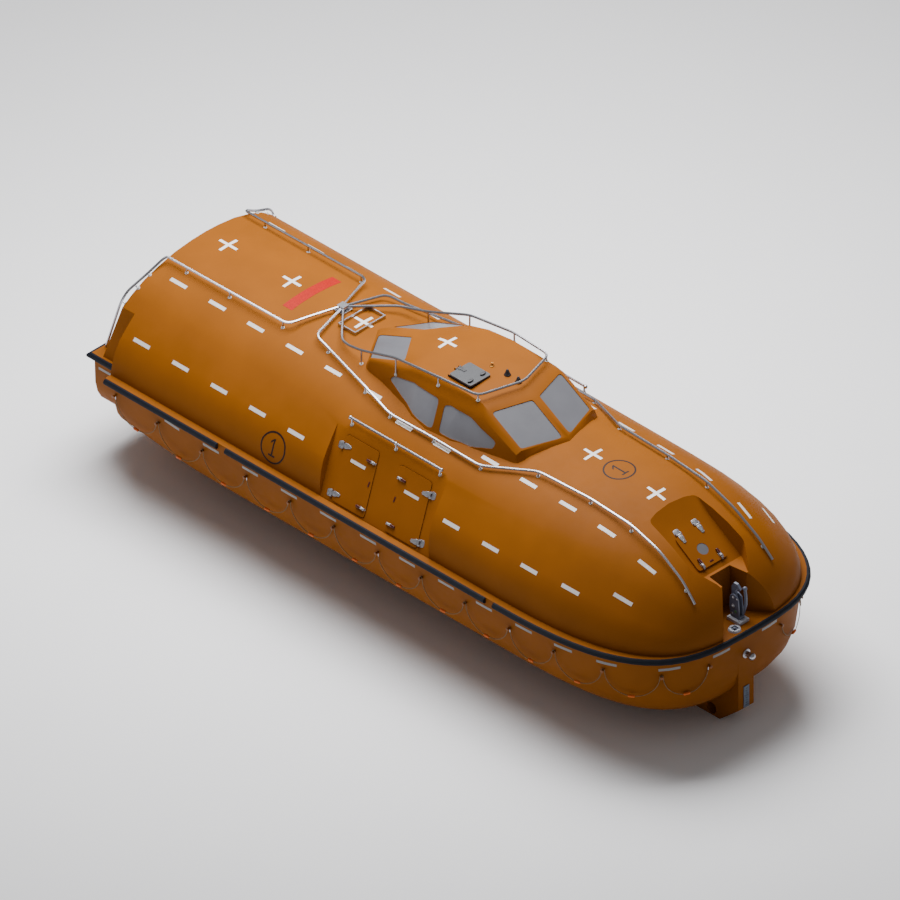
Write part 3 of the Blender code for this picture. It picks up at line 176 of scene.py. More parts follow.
# Zones over the deck: the hooks' base plates, and the knob in the ring's frame
BASE_ZONE = ((-9, -9, -0.001), (9, 9, 0.0502))
KNOB_ZONE = ((-0.057, -0.057, 0), (0.057, 0.057, 0.027))
PAINTER = (5.831, 0.0, 0.44)  # the foot of the painter's knob
DRAUGHT_FOOT = (5.838, 0.0, -0.48)
DRAUGHT_STEP = 0.042

# Grab lines: ropes hung in loops from pegs on the hull's side, the pegs given by their X
GRAB_PEGS = (-5.300, -4.350, -3.385, -2.467, -1.550, -0.633, 0.284, 1.200, 2.115, 3.030, 3.920, 4.770, 5.510,
             5.810)
GRAB_LENGTHS = ((0, 3), (3, 6), (6, 9), (9, 13))  # first and last peg of each rope
GRAB_Z = 0.570
GRAB_SAG = 0.360
GRAB_OUT = 0.018            # from the hull's side to the rope's middle
GRAB_TURN = 0.0255          # from a peg's middle to the rope's middle over it
PEG_END = 0.0322            # from the rope's middle to the peg's end
# Plan of the hull's side: half-breadth, X of the points aft, where the quarter starts to narrow, over what
# length and by how much; then where the bow starts, its length and the power of its curve
SIDE_HALF = 2.15
SIDE_AFT = (-5.33, -4.6, -3.9, -2.0)
SIDE_QUARTER = (-3.51, 1.8, 0.10)
SIDE_BOW = 2.40
SIDE_REACH = 3.43
SIDE_POWER = 0.625
STRANDS = (1.0, 0.94, 0.78, 0.94)  # the rope's radius round its section, four points a strand
LAY_STEPS = 9               # rings in which a strand goes once round


def linear(code):
    """Linear colour with alpha from an sRGB hex value."""
    shares = [int(code[i:i + 2], 16) / 255 for i in (0, 2, 4)]
    return tuple([c / 12.92 if c <= 0.04045 else ((c + 0.055) / 1.055) ** 2.4 for c in shares] + [1.0])


def colour(name, description, code):
    """Colour setting of a property group."""
    return FloatVectorProperty(name=name, description=description, subtype="COLOR", size=4, min=0.0, max=1.0,
                               default=linear(code))


def length(name, description, default, low=0.0, high=20.0):
    """Length setting of a property group, in metres."""
    return FloatProperty(name=name, description=description, unit="LENGTH", subtype="DISTANCE", min=low,
                         max=high, precision=4, default=default)


class LifeboatFinishes(PropertyGroup):
    """Colours of the boat's materials."""
    laminate: colour("Laminate", "Orange gelcoat of the mouldings", "804912")
    rubber: colour("Fender", "Blue-black fender rubber", "0A0E18")
    tube: colour("Rails", "Brushed stainless tube", "B4B4BA")
    pane: colour("Windows", "Grey tinted acrylic", "626267")
    lid: colour("Roof hatch", "Grey paint of the roof hatch", "333438")
    iron: colour("Hooks", "Blue-grey paint of the release hooks", "5C6072")
    bronze: colour("Bronze", "Cast bronze", "A0713A")
    cap: colour("Caps", "Black moulded vent caps", "26262A")
    tape: colour("Tape", "Silver reflective tape", "CCC8C4")
    white: colour("Crosses", "White reflective crosses", "E4E2E0")
    signal: colour("Red marks", "Red enamel of marks and handles", "420806")
    film: colour("Patch", "Red film of the blank patch", "8E1006")
    print: colour("Numbers", "Dark print of the numbers", "1E1210")
    rope: colour("Grab lines", "Polyester rope", "7C6848")
    float: colour("Floats", "Foam floats on the grab lines", "D9641B")
    foot: colour("Post feet", "White nylon feet of the rail posts", "B2B0AE")
    tag: colour("Indicator", "Green enamel of the hooks' indicators", "4F7A52")
    fitting: colour("Hinges", "Cast stainless of hinges and latches", "B4B4BA")
    zinc: colour("Base plates", "Pale zinc paint of the hooks' base plates", "B6B8C2")
    stem: colour("Stem plate", "Blue-grey paint of the stem plate", "566072")


class LifeboatMarkings(PropertyGroup):
    """Sizes of what is stuck or printed on the skin."""
    tape_length: length("Tape length", "Length of one strip of reflective tape", 0.33)
    tape_width: length("Tape width", "Width of the reflective tape", 0.06)
    tape_lift: length("Sticker thickness", "Thickness of tapes and prints over the skin", 0.0016)
    cross_span: length("Cross span", "Length of one arm pair of a white cross", 0.36)
    cross_width: length("Cross width", "Width of a white cross's arms", 0.05)
    ring_diameter: length("Number ring", "Outer diameter of the ring round a number", 0.50)
    ring_width: length("Number stroke", "Width of the ring and of the numeral", 0.026)


class LifeboatFittings(PropertyGroup):
    """Sizes of the ropes and small fittings."""
    rope_diameter: length("Rope", "Diameter of the grab lines", 0.012, 0.004, 0.03)
    rope_lay: length("Rope lay", "Length in which a strand goes once round", 0.042, 0.01, 0.2)
    float_length: length("Float length", "Length of a grab line's float", 0.105, 0.02, 0.3)
    float_diameter: length("Float diameter", "Diameter of a grab line's float", 0.040, 0.02, 0.1)
    foot_diameter: length("Post foot", "Diameter of a rail post's foot", 0.060, 0.03, 0.2)
    bolt_size: length("Bolt head", "Width of the bolt heads", 0.013, 0.004, 0.05)


class LifeboatStage(PropertyGroup):
    """Floor, camera and light."""
    floor_height: length("Floor height", "Height of the floor, just under the keel", -0.872, -5.0, 5.0)
    floor_colour: colour("Floor", "Pale matt floor", "F4F4F6")
    key_power: FloatProperty(name="Key light", description="Power of the overhead light", unit="POWER",
                             min=0.0, default=8000.0)
    sky_strength: FloatProperty(name="Sky", description="Strength of the even light from all round", min=0.0,
                                default=0.22)
    view_width: length("View width", "Width of the camera's view", 13.294, 1.0, 100.0)


def add_node(mat, kind, settings=None, inputs=None):
    """Adds a shader node with its settings; an input is a value or the socket that feeds it."""
    node = mat.node_tree.nodes.new(kind)
    for name, value in (settings or {}).items():
        if name == "stops":
            ramp = node.color_ramp.elements
            for place, (position, shade) in enumerate(value):
                stop = ramp[place] if place < len(ramp) else ramp.new(position)
                stop.position = position
                stop.color = shade
        else:
            setattr(node, name, value)
    for name, value in (inputs or {}).items():
        if isinstance(value, bpy.types.NodeSocket):
            mat.node_tree.links.new(value, node.inputs[name])
        else:
            node.inputs[name].default_value = value
    return node


def new_material(name):
    """Empty node material with its output; returns it and the place of its points."""
    mat = bpy.data.materials.new(name)
    mat.use_nodes = True
    mat.node_tree.nodes.clear()
    place = add_node(mat, "ShaderNodeTexCoord").outputs["Object"]
    return mat, place


def surface(mat, inputs):
    """Principled shader with these inputs, joined to the output."""
    shader = add_node(mat, "ShaderNodeBsdfPrincipled", inputs=inputs)
    add_node(mat, "ShaderNodeOutputMaterial", inputs={"Surface": shader.outputs[0]})
    return mat


def shade(base, factor):
    """A colour made darker or lighter, alpha kept."""
    return tuple([min(c * factor, 1.0) for c in base[:3]] + [1.0])


def finish(name, base, inputs, tint=None, gloss=None, grain=None):
    """Material whose colour, gloss and grain follow a noise, each given by its scale and detail.

    After its noise, tint has stops of position and shade, gloss has the roughness at the noise's two ends,
    and grain has the strength and the depth of its bump.
    """
    mat, place = new_material(name)
    values = {"Base Color": base, **inputs}
    noises = {}
    for use in (tint, gloss, grain):
        if use and use[0] not in noises:
            noises[use[0]] = add_node(mat, "ShaderNodeTexNoise", inputs={
                "Vector": place, "Scale": use[0][0], "Detail": use[0][1]}).outputs[0]
    if tint:
        stops = [(position, shade(base, factor)) for position, factor in tint[1:]]
        values["Base Color"] = add_node(mat, "ShaderNodeValToRGB", {"stops": stops},
                                        {"Fac": noises[tint[0]]}).outputs[0]
    if gloss:
        values["Roughness"] = add_node(mat, "ShaderNodeMapRange", inputs={
            "Value": noises[gloss[0]], "To Min": gloss[1], "To Max": gloss[2]}).outputs[0]
    if grain:
        values["Normal"] = add_node(mat, "ShaderNodeBump", inputs={
            "Height": noises[grain[0]], "Strength": grain[1], "Distance": grain[2]}).outputs[0]
    return surface(mat, values)


def gelcoat(base):
    """Polyester gelcoat on a glass laminate, sprayed in a mould: an even gloss with a faint orange peel
    and a slow drift of shade over each panel."""
    # The drift is 770 mm across and the gloss varies over 110 mm; the peel is 3 to 6 mm across and is drawn
    # 12 mm across so that it shows at all
    return finish("gelcoat_laminate", base, {"IOR": 1.52, "Specular IOR Level": 0.05},
                  tint=((1.3, 3.0), (0.35, 0.94), (0.65, 1.05)), gloss=((9.0, 5.0), 0.48, 0.62),
                  grain=((85.0, 2.0), 0.05, 0.002))


def moulded_rubber(base):
    """Solid extruded rubber: nearly black, matt, with a chalky bloom where it weathers."""
    # Bloom in patches of 70 mm; the skin's 1 mm texture is drawn 5 mm across
    return finish("moulded_rubber", base, {"Roughness": 0.62, "IOR": 1.52, "Specular IOR Level": 0.15},
                  tint=((14.0, 6.0), (0.40, 1.0), (0.75, 1.4)), grain=((220.0, 2.0), 0.15, 0.001))


def brushed_stainless(base):
    """Stainless tube, drawn and brushed: pale, with a soft gloss and fine scratches."""
    # Brush marks are 0.1 mm apart; they are drawn 3 mm apart
    return finish("brushed_stainless", base, {"Metallic": 1.0}, gloss=((330.0, 3.0), 0.22, 0.40),
                  grain=((330.0, 3.0), 0.06, 0.0005))


def cast_stainless(base):
    """Investment-cast stainless, bead-blasted: mid grey, satin, with a fine even grain."""
    # The blasted grain is 0.3 mm across; it is drawn 4 mm across
    return finish("cast_stainless", base, {"Metallic": 1.0}, gloss=((260.0, 2.0), 0.38, 0.52),
                  grain=((260.0, 2.0), 0.10, 0.0006))


def tinted_acrylic(base):
    """Cast acrylic sheet, tinted grey: smooth and glossy, with nothing to see behind it."""
    # Shade and gloss drift over 330 mm
    return finish("tinted_acrylic", base, {"IOR": 1.49, "Specular IOR Level": 0.3},
                  tint=((3.0, 4.0), (0.3, 0.95), (0.7, 1.04)), gloss=((3.0, 4.0), 0.26, 0.36))


def painted_plate(name, base, roughness):
    """Sprayed enamel on plate or a casting: thin, a little uneven, with pale rubbed patches."""
    # Rubbed patches are 90 mm across; the spray's 2 mm peel is drawn 6 mm across
    return finish(name, base, {"Roughness": roughness, "IOR": 1.5},
                  tint=((11.0, 6.0), (0.35, 0.90), (0.62, 1.0), (0.80, 1.25)),
                  grain=((160.0, 3.0), 0.12, 0.0012))


def cast_bronze(base):
    """Sand-cast bronze: warm metal with darker tarnish in patches."""
    # The patches are 40 mm across
    return finish("cast_bronze", base, {"Metallic": 1.0}, tint=((24.0, 5.0), (0.35, 0.65), (0.65, 1.0)),
                  gloss=((24.0, 5.0), 0.45, 0.28))


def retroreflective(name, base):
    """Glass-bead tape under a clear film sealed in small cells: pale, satin, a net of fine lines."""
    mat, place = new_material(name)
    # The sealed cells are 5 mm across; they are drawn 12 mm across
    cells = add_node(mat, "ShaderNodeTexVoronoi", {"feature": "DISTANCE_TO_EDGE"},
                     {"Vector": place, "Scale": 80.0})
    tint = add_node(mat, "ShaderNodeValToRGB", {"stops": ((0.02, shade(base, 0.82)), (0.07, base))},
                    {"Fac": cells.outputs[0]})
    return surface(mat, {"Base Color": tint.outputs[0], "Roughness": 0.42, "IOR": 1.49, "Coat Weight": 0.2})


def screen_print(name, base):
    """Enamel print or film: flat and matt, thin enough to show slight mottle."""
    # The mottle is 17 mm across
    return finish(name, base, {"Roughness": 0.55, "Specular IOR Level": 0.15},
                  tint=((60.0, 4.0), (0.35, 1.0), (0.75, 1.5)))


def laid_rope(base):
    """Laid polyester rope: pale and soft, with painted shade in dark lines along the grooves of its lay."""
    mat, place = new_material("laid_rope")
    # Strands of a 12 mm rope turn every 40 mm
    groove_shade = add_node(mat, "ShaderNodeTexWave", {"bands_direction": "DIAGONAL"},
                       {"Vector": place, "Scale": 28.0, "Distortion": 1.0})
    # The ramp darkens the wave's low bands: painted shade in the rope's grooves
    tint = add_node(mat, "ShaderNodeValToRGB", {"stops": ((0.1, shade(base, 0.7)), (0.6, base))},
                    {"Fac": groove_shade.outputs[0]})
    return surface(mat, {"Base Color": tint.outputs[0], "Roughness": 0.8, "Sheen Weight": 0.2})


def moulded_foam(base):
    """Closed-cell foam float, moulded: bright, matt and lightly pitted."""
    # Pits are 1 mm across; they are drawn 2.5 mm across
    return finish("moulded_foam", base, {"Roughness": 0.75}, tint=((400.0, 2.0), (0.35, 0.85), (0.6, 1.0)),
                  grain=((400.0, 2.0), 0.2, 0.001))


def matt_floor(base):
    """Matt painted board: pale and even, with a faint mottle."""
    # The mottle is 1.7 m across
    return finish("matt_floor", base, {"Roughness": 0.9, "Specular IOR Level": 0.1},
                  tint=((0.6, 4.0), (0.3, 0.985), (0.7, 1.0)))


def dress_nodes(mat, *names, sharp=32, accent=None, zones=()):
    """Covers CAD nodes with welded copies that are shaded smooth.

    A name that ends with an underscore stands for all that start with it. Faces inside a zone, which is a
    frame and two corners in it, take the accent.
    """
    starts = tuple([name for name in names if name.endswith("_")])
    dressed = 0
    for name, node in frame["nodes"].items():
        if name in names or name.startswith(starts):
            bm = bmesh.new()
            bm.from_mesh(node.data)
            bmesh.ops.remove_doubles(bm, verts=bm.verts, dist=0.00002)
            bmesh.ops.dissolve_degenerate(bm, edges=bm.edges, dist=0.00002)
            piece = add_piece(name + "_skin", bm, mat, node["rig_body"], sharp=sharp)
            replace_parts(piece, name)
            dressed += 1
            if accent:
                piece.data.materials.append(accent)
            for frame_of, low, high in zones:
                inverse = frame_of.inverted()
                for face in piece.data.polygons:
                    place = inverse @ face.center
                    if all(a < c < b for a, c, b in zip(low, place, high)):
                        face.material_index = 1
    if not dressed:
        raise RuntimeError("no node takes " + mat.name)


def new_object(name, data):
    """Object that is linked to the scene."""
    obj = bpy.data.objects.new(name, data)
    bpy.context.scene.collection.objects.link(obj)
    return obj


def add_piece(name, bm, mat, body="boat", sharp=35):
    """Object from a bmesh with outward faces; it rides on a body."""
    bmesh.ops.recalc_face_normals(bm, faces=bm.faces)
    mesh = bpy.data.meshes.new(name)
    bm.to_mesh(mesh)
    bm.free()
    if "custom_normal" in mesh.attributes:
        mesh.attributes.remove(mesh.attributes["custom_normal"])
    mesh.shade_smooth()
    mesh.set_sharp_from_angle(angle=math.radians(sharp))
    obj = new_object(name, mesh)
    mesh.materials.append(mat)
    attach(obj, body)
    return obj


def pour(target, bm, place=None):
    """Adds one bmesh to another, moved by a matrix, and frees it."""
    if place is not None:
        bmesh.ops.transform(bm, matrix=place, verts=bm.verts)
    mesh = bpy.data.meshes.new("part")
    bm.to_mesh(mesh)
    bm.free()
    target.from_mesh(mesh)
    bpy.data.meshes.remove(mesh)


def skin_of(*names):
    """Search tree of the faces of some CAD nodes."""
    bm = bmesh.new()
    for name in names:
        bm.from_mesh(frame["nodes"][name].data)
    tree = BVHTree.FromBMesh(bm)
    bm.free()
    return tree


def flat_sheet(outline):
    """Flat sheet inside an outline, cut into cells so that it can follow a skin."""
    bm = bmesh.new()
    bm.faces.new([bm.verts.new((u, v, 0.0)) for u, v in outline])
    bm.normal_update()
    bmesh.ops.triangulate(bm, faces=bm.faces)
    for axis in (0, 1):
        low = min(point[axis] for point in outline)
        high = max(point[axis] for point in outline)
        cells = math.ceil((high - low) / CELL)
        normal = Vector((0.0, 0.0, 0.0))
        normal[axis] = 1.0
        for k in range(1, cells):
            place = normal * (low + (high - low) * k / cells)
            bmesh.ops.bisect_plane(bm, geom=bm.verts[:] + bm.edges[:] + bm.faces[:], plane_co=place,
                                   plane_no=normal)
    return bm


def oblong(width, height):
    """Outline of a centred rectangle."""
    x = width / 2
    y = height / 2
    return [(-x, -y), (x, -y), (x, y), (-x, y)]


def mirrored(half):
    """Outline that is the same on both sides of the Y axis, from its right half, foot first."""
    return [(-x, y) for x, y in half] + [(x, y) for x, y in reversed(half)]


def at(x, y, z):
    """Frame moved from the origin and not turned."""
    return Matrix.Translation((x, y, z))


def touch(skin, start, toward):
    """Place where a ray meets the skin, and the outward direction there."""
    toward = Vector(toward).normalized()
    hit, normal = skin.ray_cast(Vector(start), toward)[:2]
    if hit is None:
        raise RuntimeError("no skin in the way from %s" % (tuple(start),))
    return hit, -normal if normal.dot(toward) > 0 else normal


def thicken(bm, vec):
    """Extrudes all faces along a vector and returns the new edges."""
    grown = bmesh.ops.extrude_face_region(bm, geom=bm.faces[:])["geom"]
    lifted = [item for item in grown if isinstance(item, bmesh.types.BMVert)]
    bmesh.ops.translate(bm, vec=vec, verts=lifted)
    return [item for item in grown if isinstance(item, bmesh.types.BMEdge)]


def round_off(bm, edges, size, segments=3):
    """Rounds edges."""
    bmesh.ops.bevel(bm, geom=edges, offset=size, segments=segments, profile=0.5, affect="EDGES", material=-1)


def drape(bm, skin, start, toward, right, thick):
    """Lays a flat sheet on the skin where a ray from start meets it, its own X toward the right."""
    hit, normal = touch(skin, start, toward)
    across = (Vector(right) - normal * normal.dot(Vector(right))).normalized()
    up = normal.cross(across)
    for vert in bm.verts:
        above = hit + across * vert.co.x + up * vert.co.y + normal * REACH
        place = skin.ray_cast(above, -normal, 2 * REACH)[0]
        if place is None:
            raise RuntimeError("a sheet hangs over the skin's edge at %s" % (tuple(start),))
        vert.co = place + normal * GLUE
    thicken(bm, normal * thick)
    return bm


def bay_point(side, x, up, out):
    """World point from a place on the door bay's panel: along, up the slope and outward."""
    foot = Vector(BAY_FOOT)
    slope = (Vector(BAY_HEAD) - foot).normalized()
    normal = Vector((slope.y, -slope.x))
    place = foot + slope * up + normal * out
    return Vector((x - LEAN * up, side * place.x, place.y))


def axes_frame(origin, x_axis, z_axis):
    """Right-handed frame with this X axis and its Z as near as may be to the one given."""
    x_axis = Vector(x_axis).normalized()
    z_axis = (Vector(z_axis) - x_axis * x_axis.dot(Vector(z_axis))).normalized()
    turned_axes = Matrix((x_axis, z_axis.cross(x_axis), z_axis)).transposed().to_4x4()
    turned_axes.translation = origin
    return turned_axes


def standing(origin, z_axis):
    """Frame that stands on a point with its Z along a direction."""
    z_axis = Vector(z_axis)
    side = Vector((0.0, 0.0, 1.0)) if abs(z_axis.z) < 0.9 * z_axis.length else Vector((1.0, 0.0, 0.0))
    return axes_frame(origin, side.cross(z_axis), z_axis)


def door_hinge_frame(side, aft, fore, hinged, share):
    """Frame of a door hinge: X along the pin, Y toward the leaf, Z outward from the panel."""
    edge = fore + HINGE_OFF if hinged > 0 else aft - HINGE_OFF
    up = DOOR_SPAN[0] + share * (DOOR_SPAN[1] - DOOR_SPAN[0])
    origin = bay_point(side, edge, up, 0.0)
    along = bay_point(side, edge, up + 1.0, 0.0) - origin
    return axes_frame(origin, along * -side * hinged, bay_point(side, edge, up, 1.0) - origin)


def latch_frame(side, aft, fore, hinged, share):
    """Frame of a door latch: X toward the hinged edge, Z outward from the leaf."""
    free = aft + LATCH_IN if hinged > 0 else fore - LATCH_IN
    up = DOOR_SPAN[0] + share * (DOOR_SPAN[1] - DOOR_SPAN[0])
    origin = bay_point(side, free, up, DOOR_PROUD)
    return axes_frame(origin, bay_point(side, free + hinged, up, DOOR_PROUD) - origin,
                      bay_point(side, free, up, 1.0) - origin)


def hatch_frame(y, down=HATCH_PIN):
    """Frame on the bow recess's slope: X to starboard, Y down the slope, Z outward."""
    start = Vector((SLOPE[0][0], 0.0, SLOPE[0][1]))
    slope = (Vector((SLOPE[1][0], 0.0, SLOPE[1][1])) - start).normalized()
    return axes_frame(start + slope * down + Vector((0.0, y, 0.0)), (0, -1, 0), (-slope.z, 0.0, slope.x))


def rounded_box(low, high, edge):
    """Box between two corners with its edges rounded."""
    bm = bmesh.new()
    bmesh.ops.create_cube(bm, size=1.0)
    bmesh.ops.scale(bm, vec=[b - a for a, b in zip(low, high)], verts=bm.verts)
    bmesh.ops.translate(bm, vec=[(a + b) / 2 for a, b in zip(low, high)], verts=bm.verts)
    round_off(bm, bm.edges[:], edge)
    return bm


def turned(profile, steps=28):
    """Round piece about Z from a profile of radius and height."""
    bm = bmesh.new()
    line = [bm.verts.new((radius, 0.0, height)) for radius, height in profile]
    edges = [bm.edges.new(pair) for pair in zip(line, line[1:])]
    bmesh.ops.spin(bm, geom=line + edges, cent=(0, 0, 0), axis=(0, 0, 1), angle=2 * math.pi, steps=steps,
                   use_merge=True)
    bmesh.ops.remove_doubles(bm, verts=bm.verts, dist=0.00001)
    return bm


def plate(outline, low, high, edge):
    """Plate inside an outline between two heights, its upper edge rounded."""
    bm = bmesh.new()
    bm.faces.new([bm.verts.new((x, y, low)) for x, y in outline])
    round_off(bm, thicken(bm, (0, 0, high - low)), edge)
    return bm


def bolt_head(size):
    """Six-sided bolt head on a washer, standing on Z = 0."""
    bm = turned(((0.0, -0.0005), (size * 0.85, -0.0005), (size * 0.85, 0.0012), (0.0, 0.0012)), 20)
    head = bmesh.new()
    corner = size * 0.577       # from the middle to a corner, size being across the flats
    bmesh.ops.create_cone(head, cap_ends=True, segments=6, radius1=corner, radius2=corner, depth=size * 0.45)
    round_off(head, head.edges[:], size * 0.06, 2)
    pour(bm, head, at(0, 0, 0.001 + size * 0.225))
    return bm


def doors():
    """Each side door's node, its side and its edges as the frames take them."""
    for name, side in SIDES:
        for door, *edges, _ in DOORS:
            yield door + "_" + name, side, edges


class LIFEBOAT_OT_stage(Operator):
    """Sets the floor, the camera and the lights"""
    bl_idname = "lifeboat.stage"
    bl_label = "Stage"

    def execute(self, context):
        settings = context.scene.lifeboat_stage
        bm = bmesh.new()
        bmesh.ops.create_grid(bm, x_segments=8, y_segments=8, size=FLOOR_HALF)
        bmesh.ops.translate(bm, vec=(0.0, 0.0, settings.floor_height), verts=bm.verts)
        mesh = bpy.data.meshes.new("floor")
        bm.to_mesh(mesh)
        bm.free()
        floor = new_object("floor", mesh)
        mesh.materials.append(matt_floor(settings.floor_colour))

        # Isometric, from ahead, to starboard and above
        look = Vector((-1.0, 1.0, -1.0)).normalized()
        across, up = VIEW_MIDDLE
        middle = Vector((1.0, 1.0, 0.0)).normalized() * across + Vector((-1.0, 1.0, 2.0)).normalized() * up
        data = bpy.data.cameras.new("camera")
        data.type = "ORTHO"
        data.ortho_scale = settings.view_width
        data.clip_end = 400.0
        camera = new_object("camera", data)
        camera.rotation_mode = "QUATERNION"
        camera.rotation_quaternion = look.to_track_quat("-Z", "Y")
        camera.location = middle - look * CAMERA_BACK
        context.scene.camera = camera

        # A wide soft light overhead gives the bright roofs and dim flanks
        lamp = bpy.data.lights.new("key", "AREA")
        lamp.shape = "RECTANGLE"
        lamp.size, lamp.size_y = KEY_SIZE
        lamp.energy = settings.key_power
        key = new_object("key", lamp)
        key.location = KEY_PLACE
        key.rotation_mode = "QUATERNION"
        key.rotation_quaternion = (-key.location.normalized()).to_track_quat("-Z", "Y")
        world = bpy.data.worlds.new("sky")
        world.use_nodes = True
        sky = world.node_tree.nodes["Background"]
        sky.inputs["Color"].default_value = (1.0, 1.0, 1.0, 1.0)
        sky.inputs["Strength"].default_value = settings.sky_strength
        context.scene.world = world
        return {"FINISHED"}


class LIFEBOAT_OT_mouldings(Operator):
    """Gives the hull, canopy, wheelhouse, doors and bow hatch their gelcoat"""
    bl_idname = "lifeboat.mouldings"
    bl_label = "Mouldings"

    def execute(self, context):
        finishes = context.scene.lifeboat_finishes
        mat = gelcoat(finishes.laminate)
        steel = cast_stainless(finishes.fitting)
        lugs = []
        straps = []
        for _, side, edges in doors():
            for place in HINGE_PLACES:
                hinge = door_hinge_frame(side, *edges, place)
                lugs.append((hinge, *LUG_ZONE))
                straps += [(hinge, KNUCKLE_ZONE, (0.032, 0.019, 0.03)), (hinge, *STRAP_ZONE)]
            straps += [(latch_frame(side, *edges, place), *LATCH_ZONE) for place in LATCH_PLACES]
        for y in HATCH_HINGES:
            hinge = hatch_frame(y)
            lugs.append((hinge, *LUG_ZONE))
            straps += [(hinge, KNUCKLE_ZONE, (0.032, 0.019, 0.04)), (hinge, *HATCH_STRAP_ZONE)]
        dress_nodes(mat, "hull")
        dress_nodes(mat, "canopy", sharp=23, accent=steel, zones=lugs)
        dress_nodes(mat, "aft_door_", "forward_door_", "bow_hatch", accent=steel, zones=straps)
        dress_nodes(mat, "wheelhouse", accent=painted_plate("moulded_cap", finishes.cap, 0.5),
                    zones=[(at(*ROOF_HINGE, ROOF_TOP), *ROOF_LUG_ZONE)])
        return {"FINISHED"}


class LIFEBOAT_OT_metalwork(Operator):
    """Gives the rails, fittings, fenders and drive their finishes"""
    bl_idname = "lifeboat.metalwork"
    bl_label = "Fenders and metalwork"

    def execute(self, context):
        finishes = context.scene.lifeboat_finishes
        dress_nodes(moulded_rubber(finishes.rubber), "fender_")
        dress_nodes(brushed_stainless(finishes.tube), "aft_rail_", "outer_rail_", "door_rail_", "roof_rail",
                    "roof_frame", "rail_hub", "painter_boss", "nozzle")
        dress_nodes(painted_plate("stem_enamel", finishes.stem, 0.45), "stem_strip")
        zinc = painted_plate("zinc_paint", finishes.zinc, 0.4)
        dress_nodes(painted_plate("hook_enamel", finishes.iron, 0.45), "fore_hook_", "aft_hook_", accent=zinc,
                    zones=[(at(0, 0, DECK), *BASE_ZONE)])
        dress_nodes(zinc, "deck_ring", accent=painted_plate("ring_enamel", finishes.iron, 0.5),
                    zones=[(at(*RING, DECK), *KNOB_ZONE)])
        cap = painted_plate("moulded_cap", finishes.cap, 0.5)
        lid = at(0, 0, ROOF_TOP)
        dress_nodes(painted_plate("lid_enamel", finishes.lid, 0.50), "roof_hatch", accent=cap,
                    zones=[(lid, *HANDLE_ZONE), (lid, *ROOF_LEAF_ZONE)])
        dress_nodes(painted_plate("engine_enamel", finishes.iron, 0.55), "engine")
        dress_nodes(cast_bronze(finishes.bronze), "propeller")
        return {"FINISHED"}


class LIFEBOAT_OT_glazing(Operator):
    """Gives the wheelhouse's and the bow hatch's panes their tinted acrylic"""
    bl_idname = "lifeboat.glazing"
    bl_label = "Windows"

    def execute(self, context):
        pane = context.scene.lifeboat_finishes.pane
        dress_nodes(tinted_acrylic(pane), "front_window_", "rear_window_", "bow_hatch_window")
        # Painted light: the side panes take a lighter copy of the same acrylic, for the light they catch on
        # the flanks
        dress_nodes(tinted_acrylic(shade(pane, 1.5)), "side_aft_window_", "side_fore_window_")
        return {"FINISHED"}


class LIFEBOAT_OT_tapes(Operator):
    """Sticks the reflective tapes on the canopy, the hull and the doors"""
    bl_idname = "lifeboat.tapes"
    bl_label = "Reflective tapes"

    def execute(self, context):
        settings = context.scene.lifeboat_markings
        mat = retroreflective("reflective_tape", context.scene.lifeboat_finishes.tape)
        # Painted shade: the hull's row is a darker copy of the tape, for the shade that falls on the hull's
        # side
        shaded_hull_tape = retroreflective("painted_shade_tape", shade(context.scene.lifeboat_finishes.tape, 0.3))
        strip = oblong(settings.tape_length, settings.tape_width)
        narrow = oblong(settings.tape_length, settings.tape_width * HULL_TAPE_SHARE)
        canopy = skin_of("canopy")
        hull = skin_of("hull")
        for name, side in SIDES:
            # Each tape is where its ray starts and where that points
            upper = [((x, side * (RAIL_TAPE_OUT if x in RAIL_TAPES else UPPER_TAPE_OUT), FAR), (0, 0, -1))
                     for x in UPPER_TAPES]
            lower = [((x, side * FAR, LOWER_BOW_TAPE_Z if x > BOW_TAPES_FROM else LOWER_TAPE_Z),
                      (0, -side, 0)) for x in LOWER_TAPES]
            under = [((x, side * FAR, HULL_TAPE_Z), (0, -side, 0)) for x in HULL_TAPES]
            under.append(((FAR, side * NOSE_TAPE_OUT, HULL_TAPE_Z), (-1, 0, 0)))
            for row, skin, tapes, outline, cover in (
                    ("upper", canopy, upper, strip, mat), ("lower", canopy, lower, strip, mat),
                    ("hull", hull, under, narrow, shaded_hull_tape)):
                bm = bmesh.new()
                for start, toward in tapes:
                    right = (-side, 0, 0) if toward[0] == 0 else (0, side, 0)
                    pour(bm, drape(flat_sheet(outline), skin, start, toward, right, settings.tape_lift))
                add_piece("tapes_%s_%s" % (row, name), bm, cover)
            for door, *_, place in DOORS:
                node = door + "_" + name
                start = bay_point(side, place + LEAN * DOOR_TAPE_UP, DOOR_TAPE_UP, 0.5)
                inward = bay_point(side, place, 0.0, 0.0) - bay_point(side, place, 0.0, 1.0)
                sheet = drape(flat_sheet(oblong(*DOOR_TAPE)), skin_of(node), start, inward, (-side, 0, 0),
                              settings.tape_lift)
                add_piece("tape_" + node, sheet, mat, node)
        return {"FINISHED"}


class LIFEBOAT_OT_crosses(Operator):
    """Sticks the white crosses on the centreline"""
    bl_idname = "lifeboat.crosses"
    bl_label = "White crosses"

    def execute(self, context):
        settings = context.scene.lifeboat_markings
        span = settings.cross_span / 2
        half = settings.cross_width / 2
        outline = [(half, half), (half, span), (-half, span), (-half, half), (-span, half), (-span, -half),
                   (-half, -half), (-half, -span), (half, -span), (half, -half), (span, -half), (span, half)]
        mat = retroreflective("white_tape", context.scene.lifeboat_finishes.white)
        skin = skin_of("canopy", "wheelhouse")
        bm = bmesh.new()
        for x in CROSSES:
            pour(bm, drape(flat_sheet(outline), skin, (x, 0.001, FAR), (0, 0, -1), (0, 1, 0),
                           settings.tape_lift))
        add_piece("crosses", bm, mat)
        return {"FINISHED"}


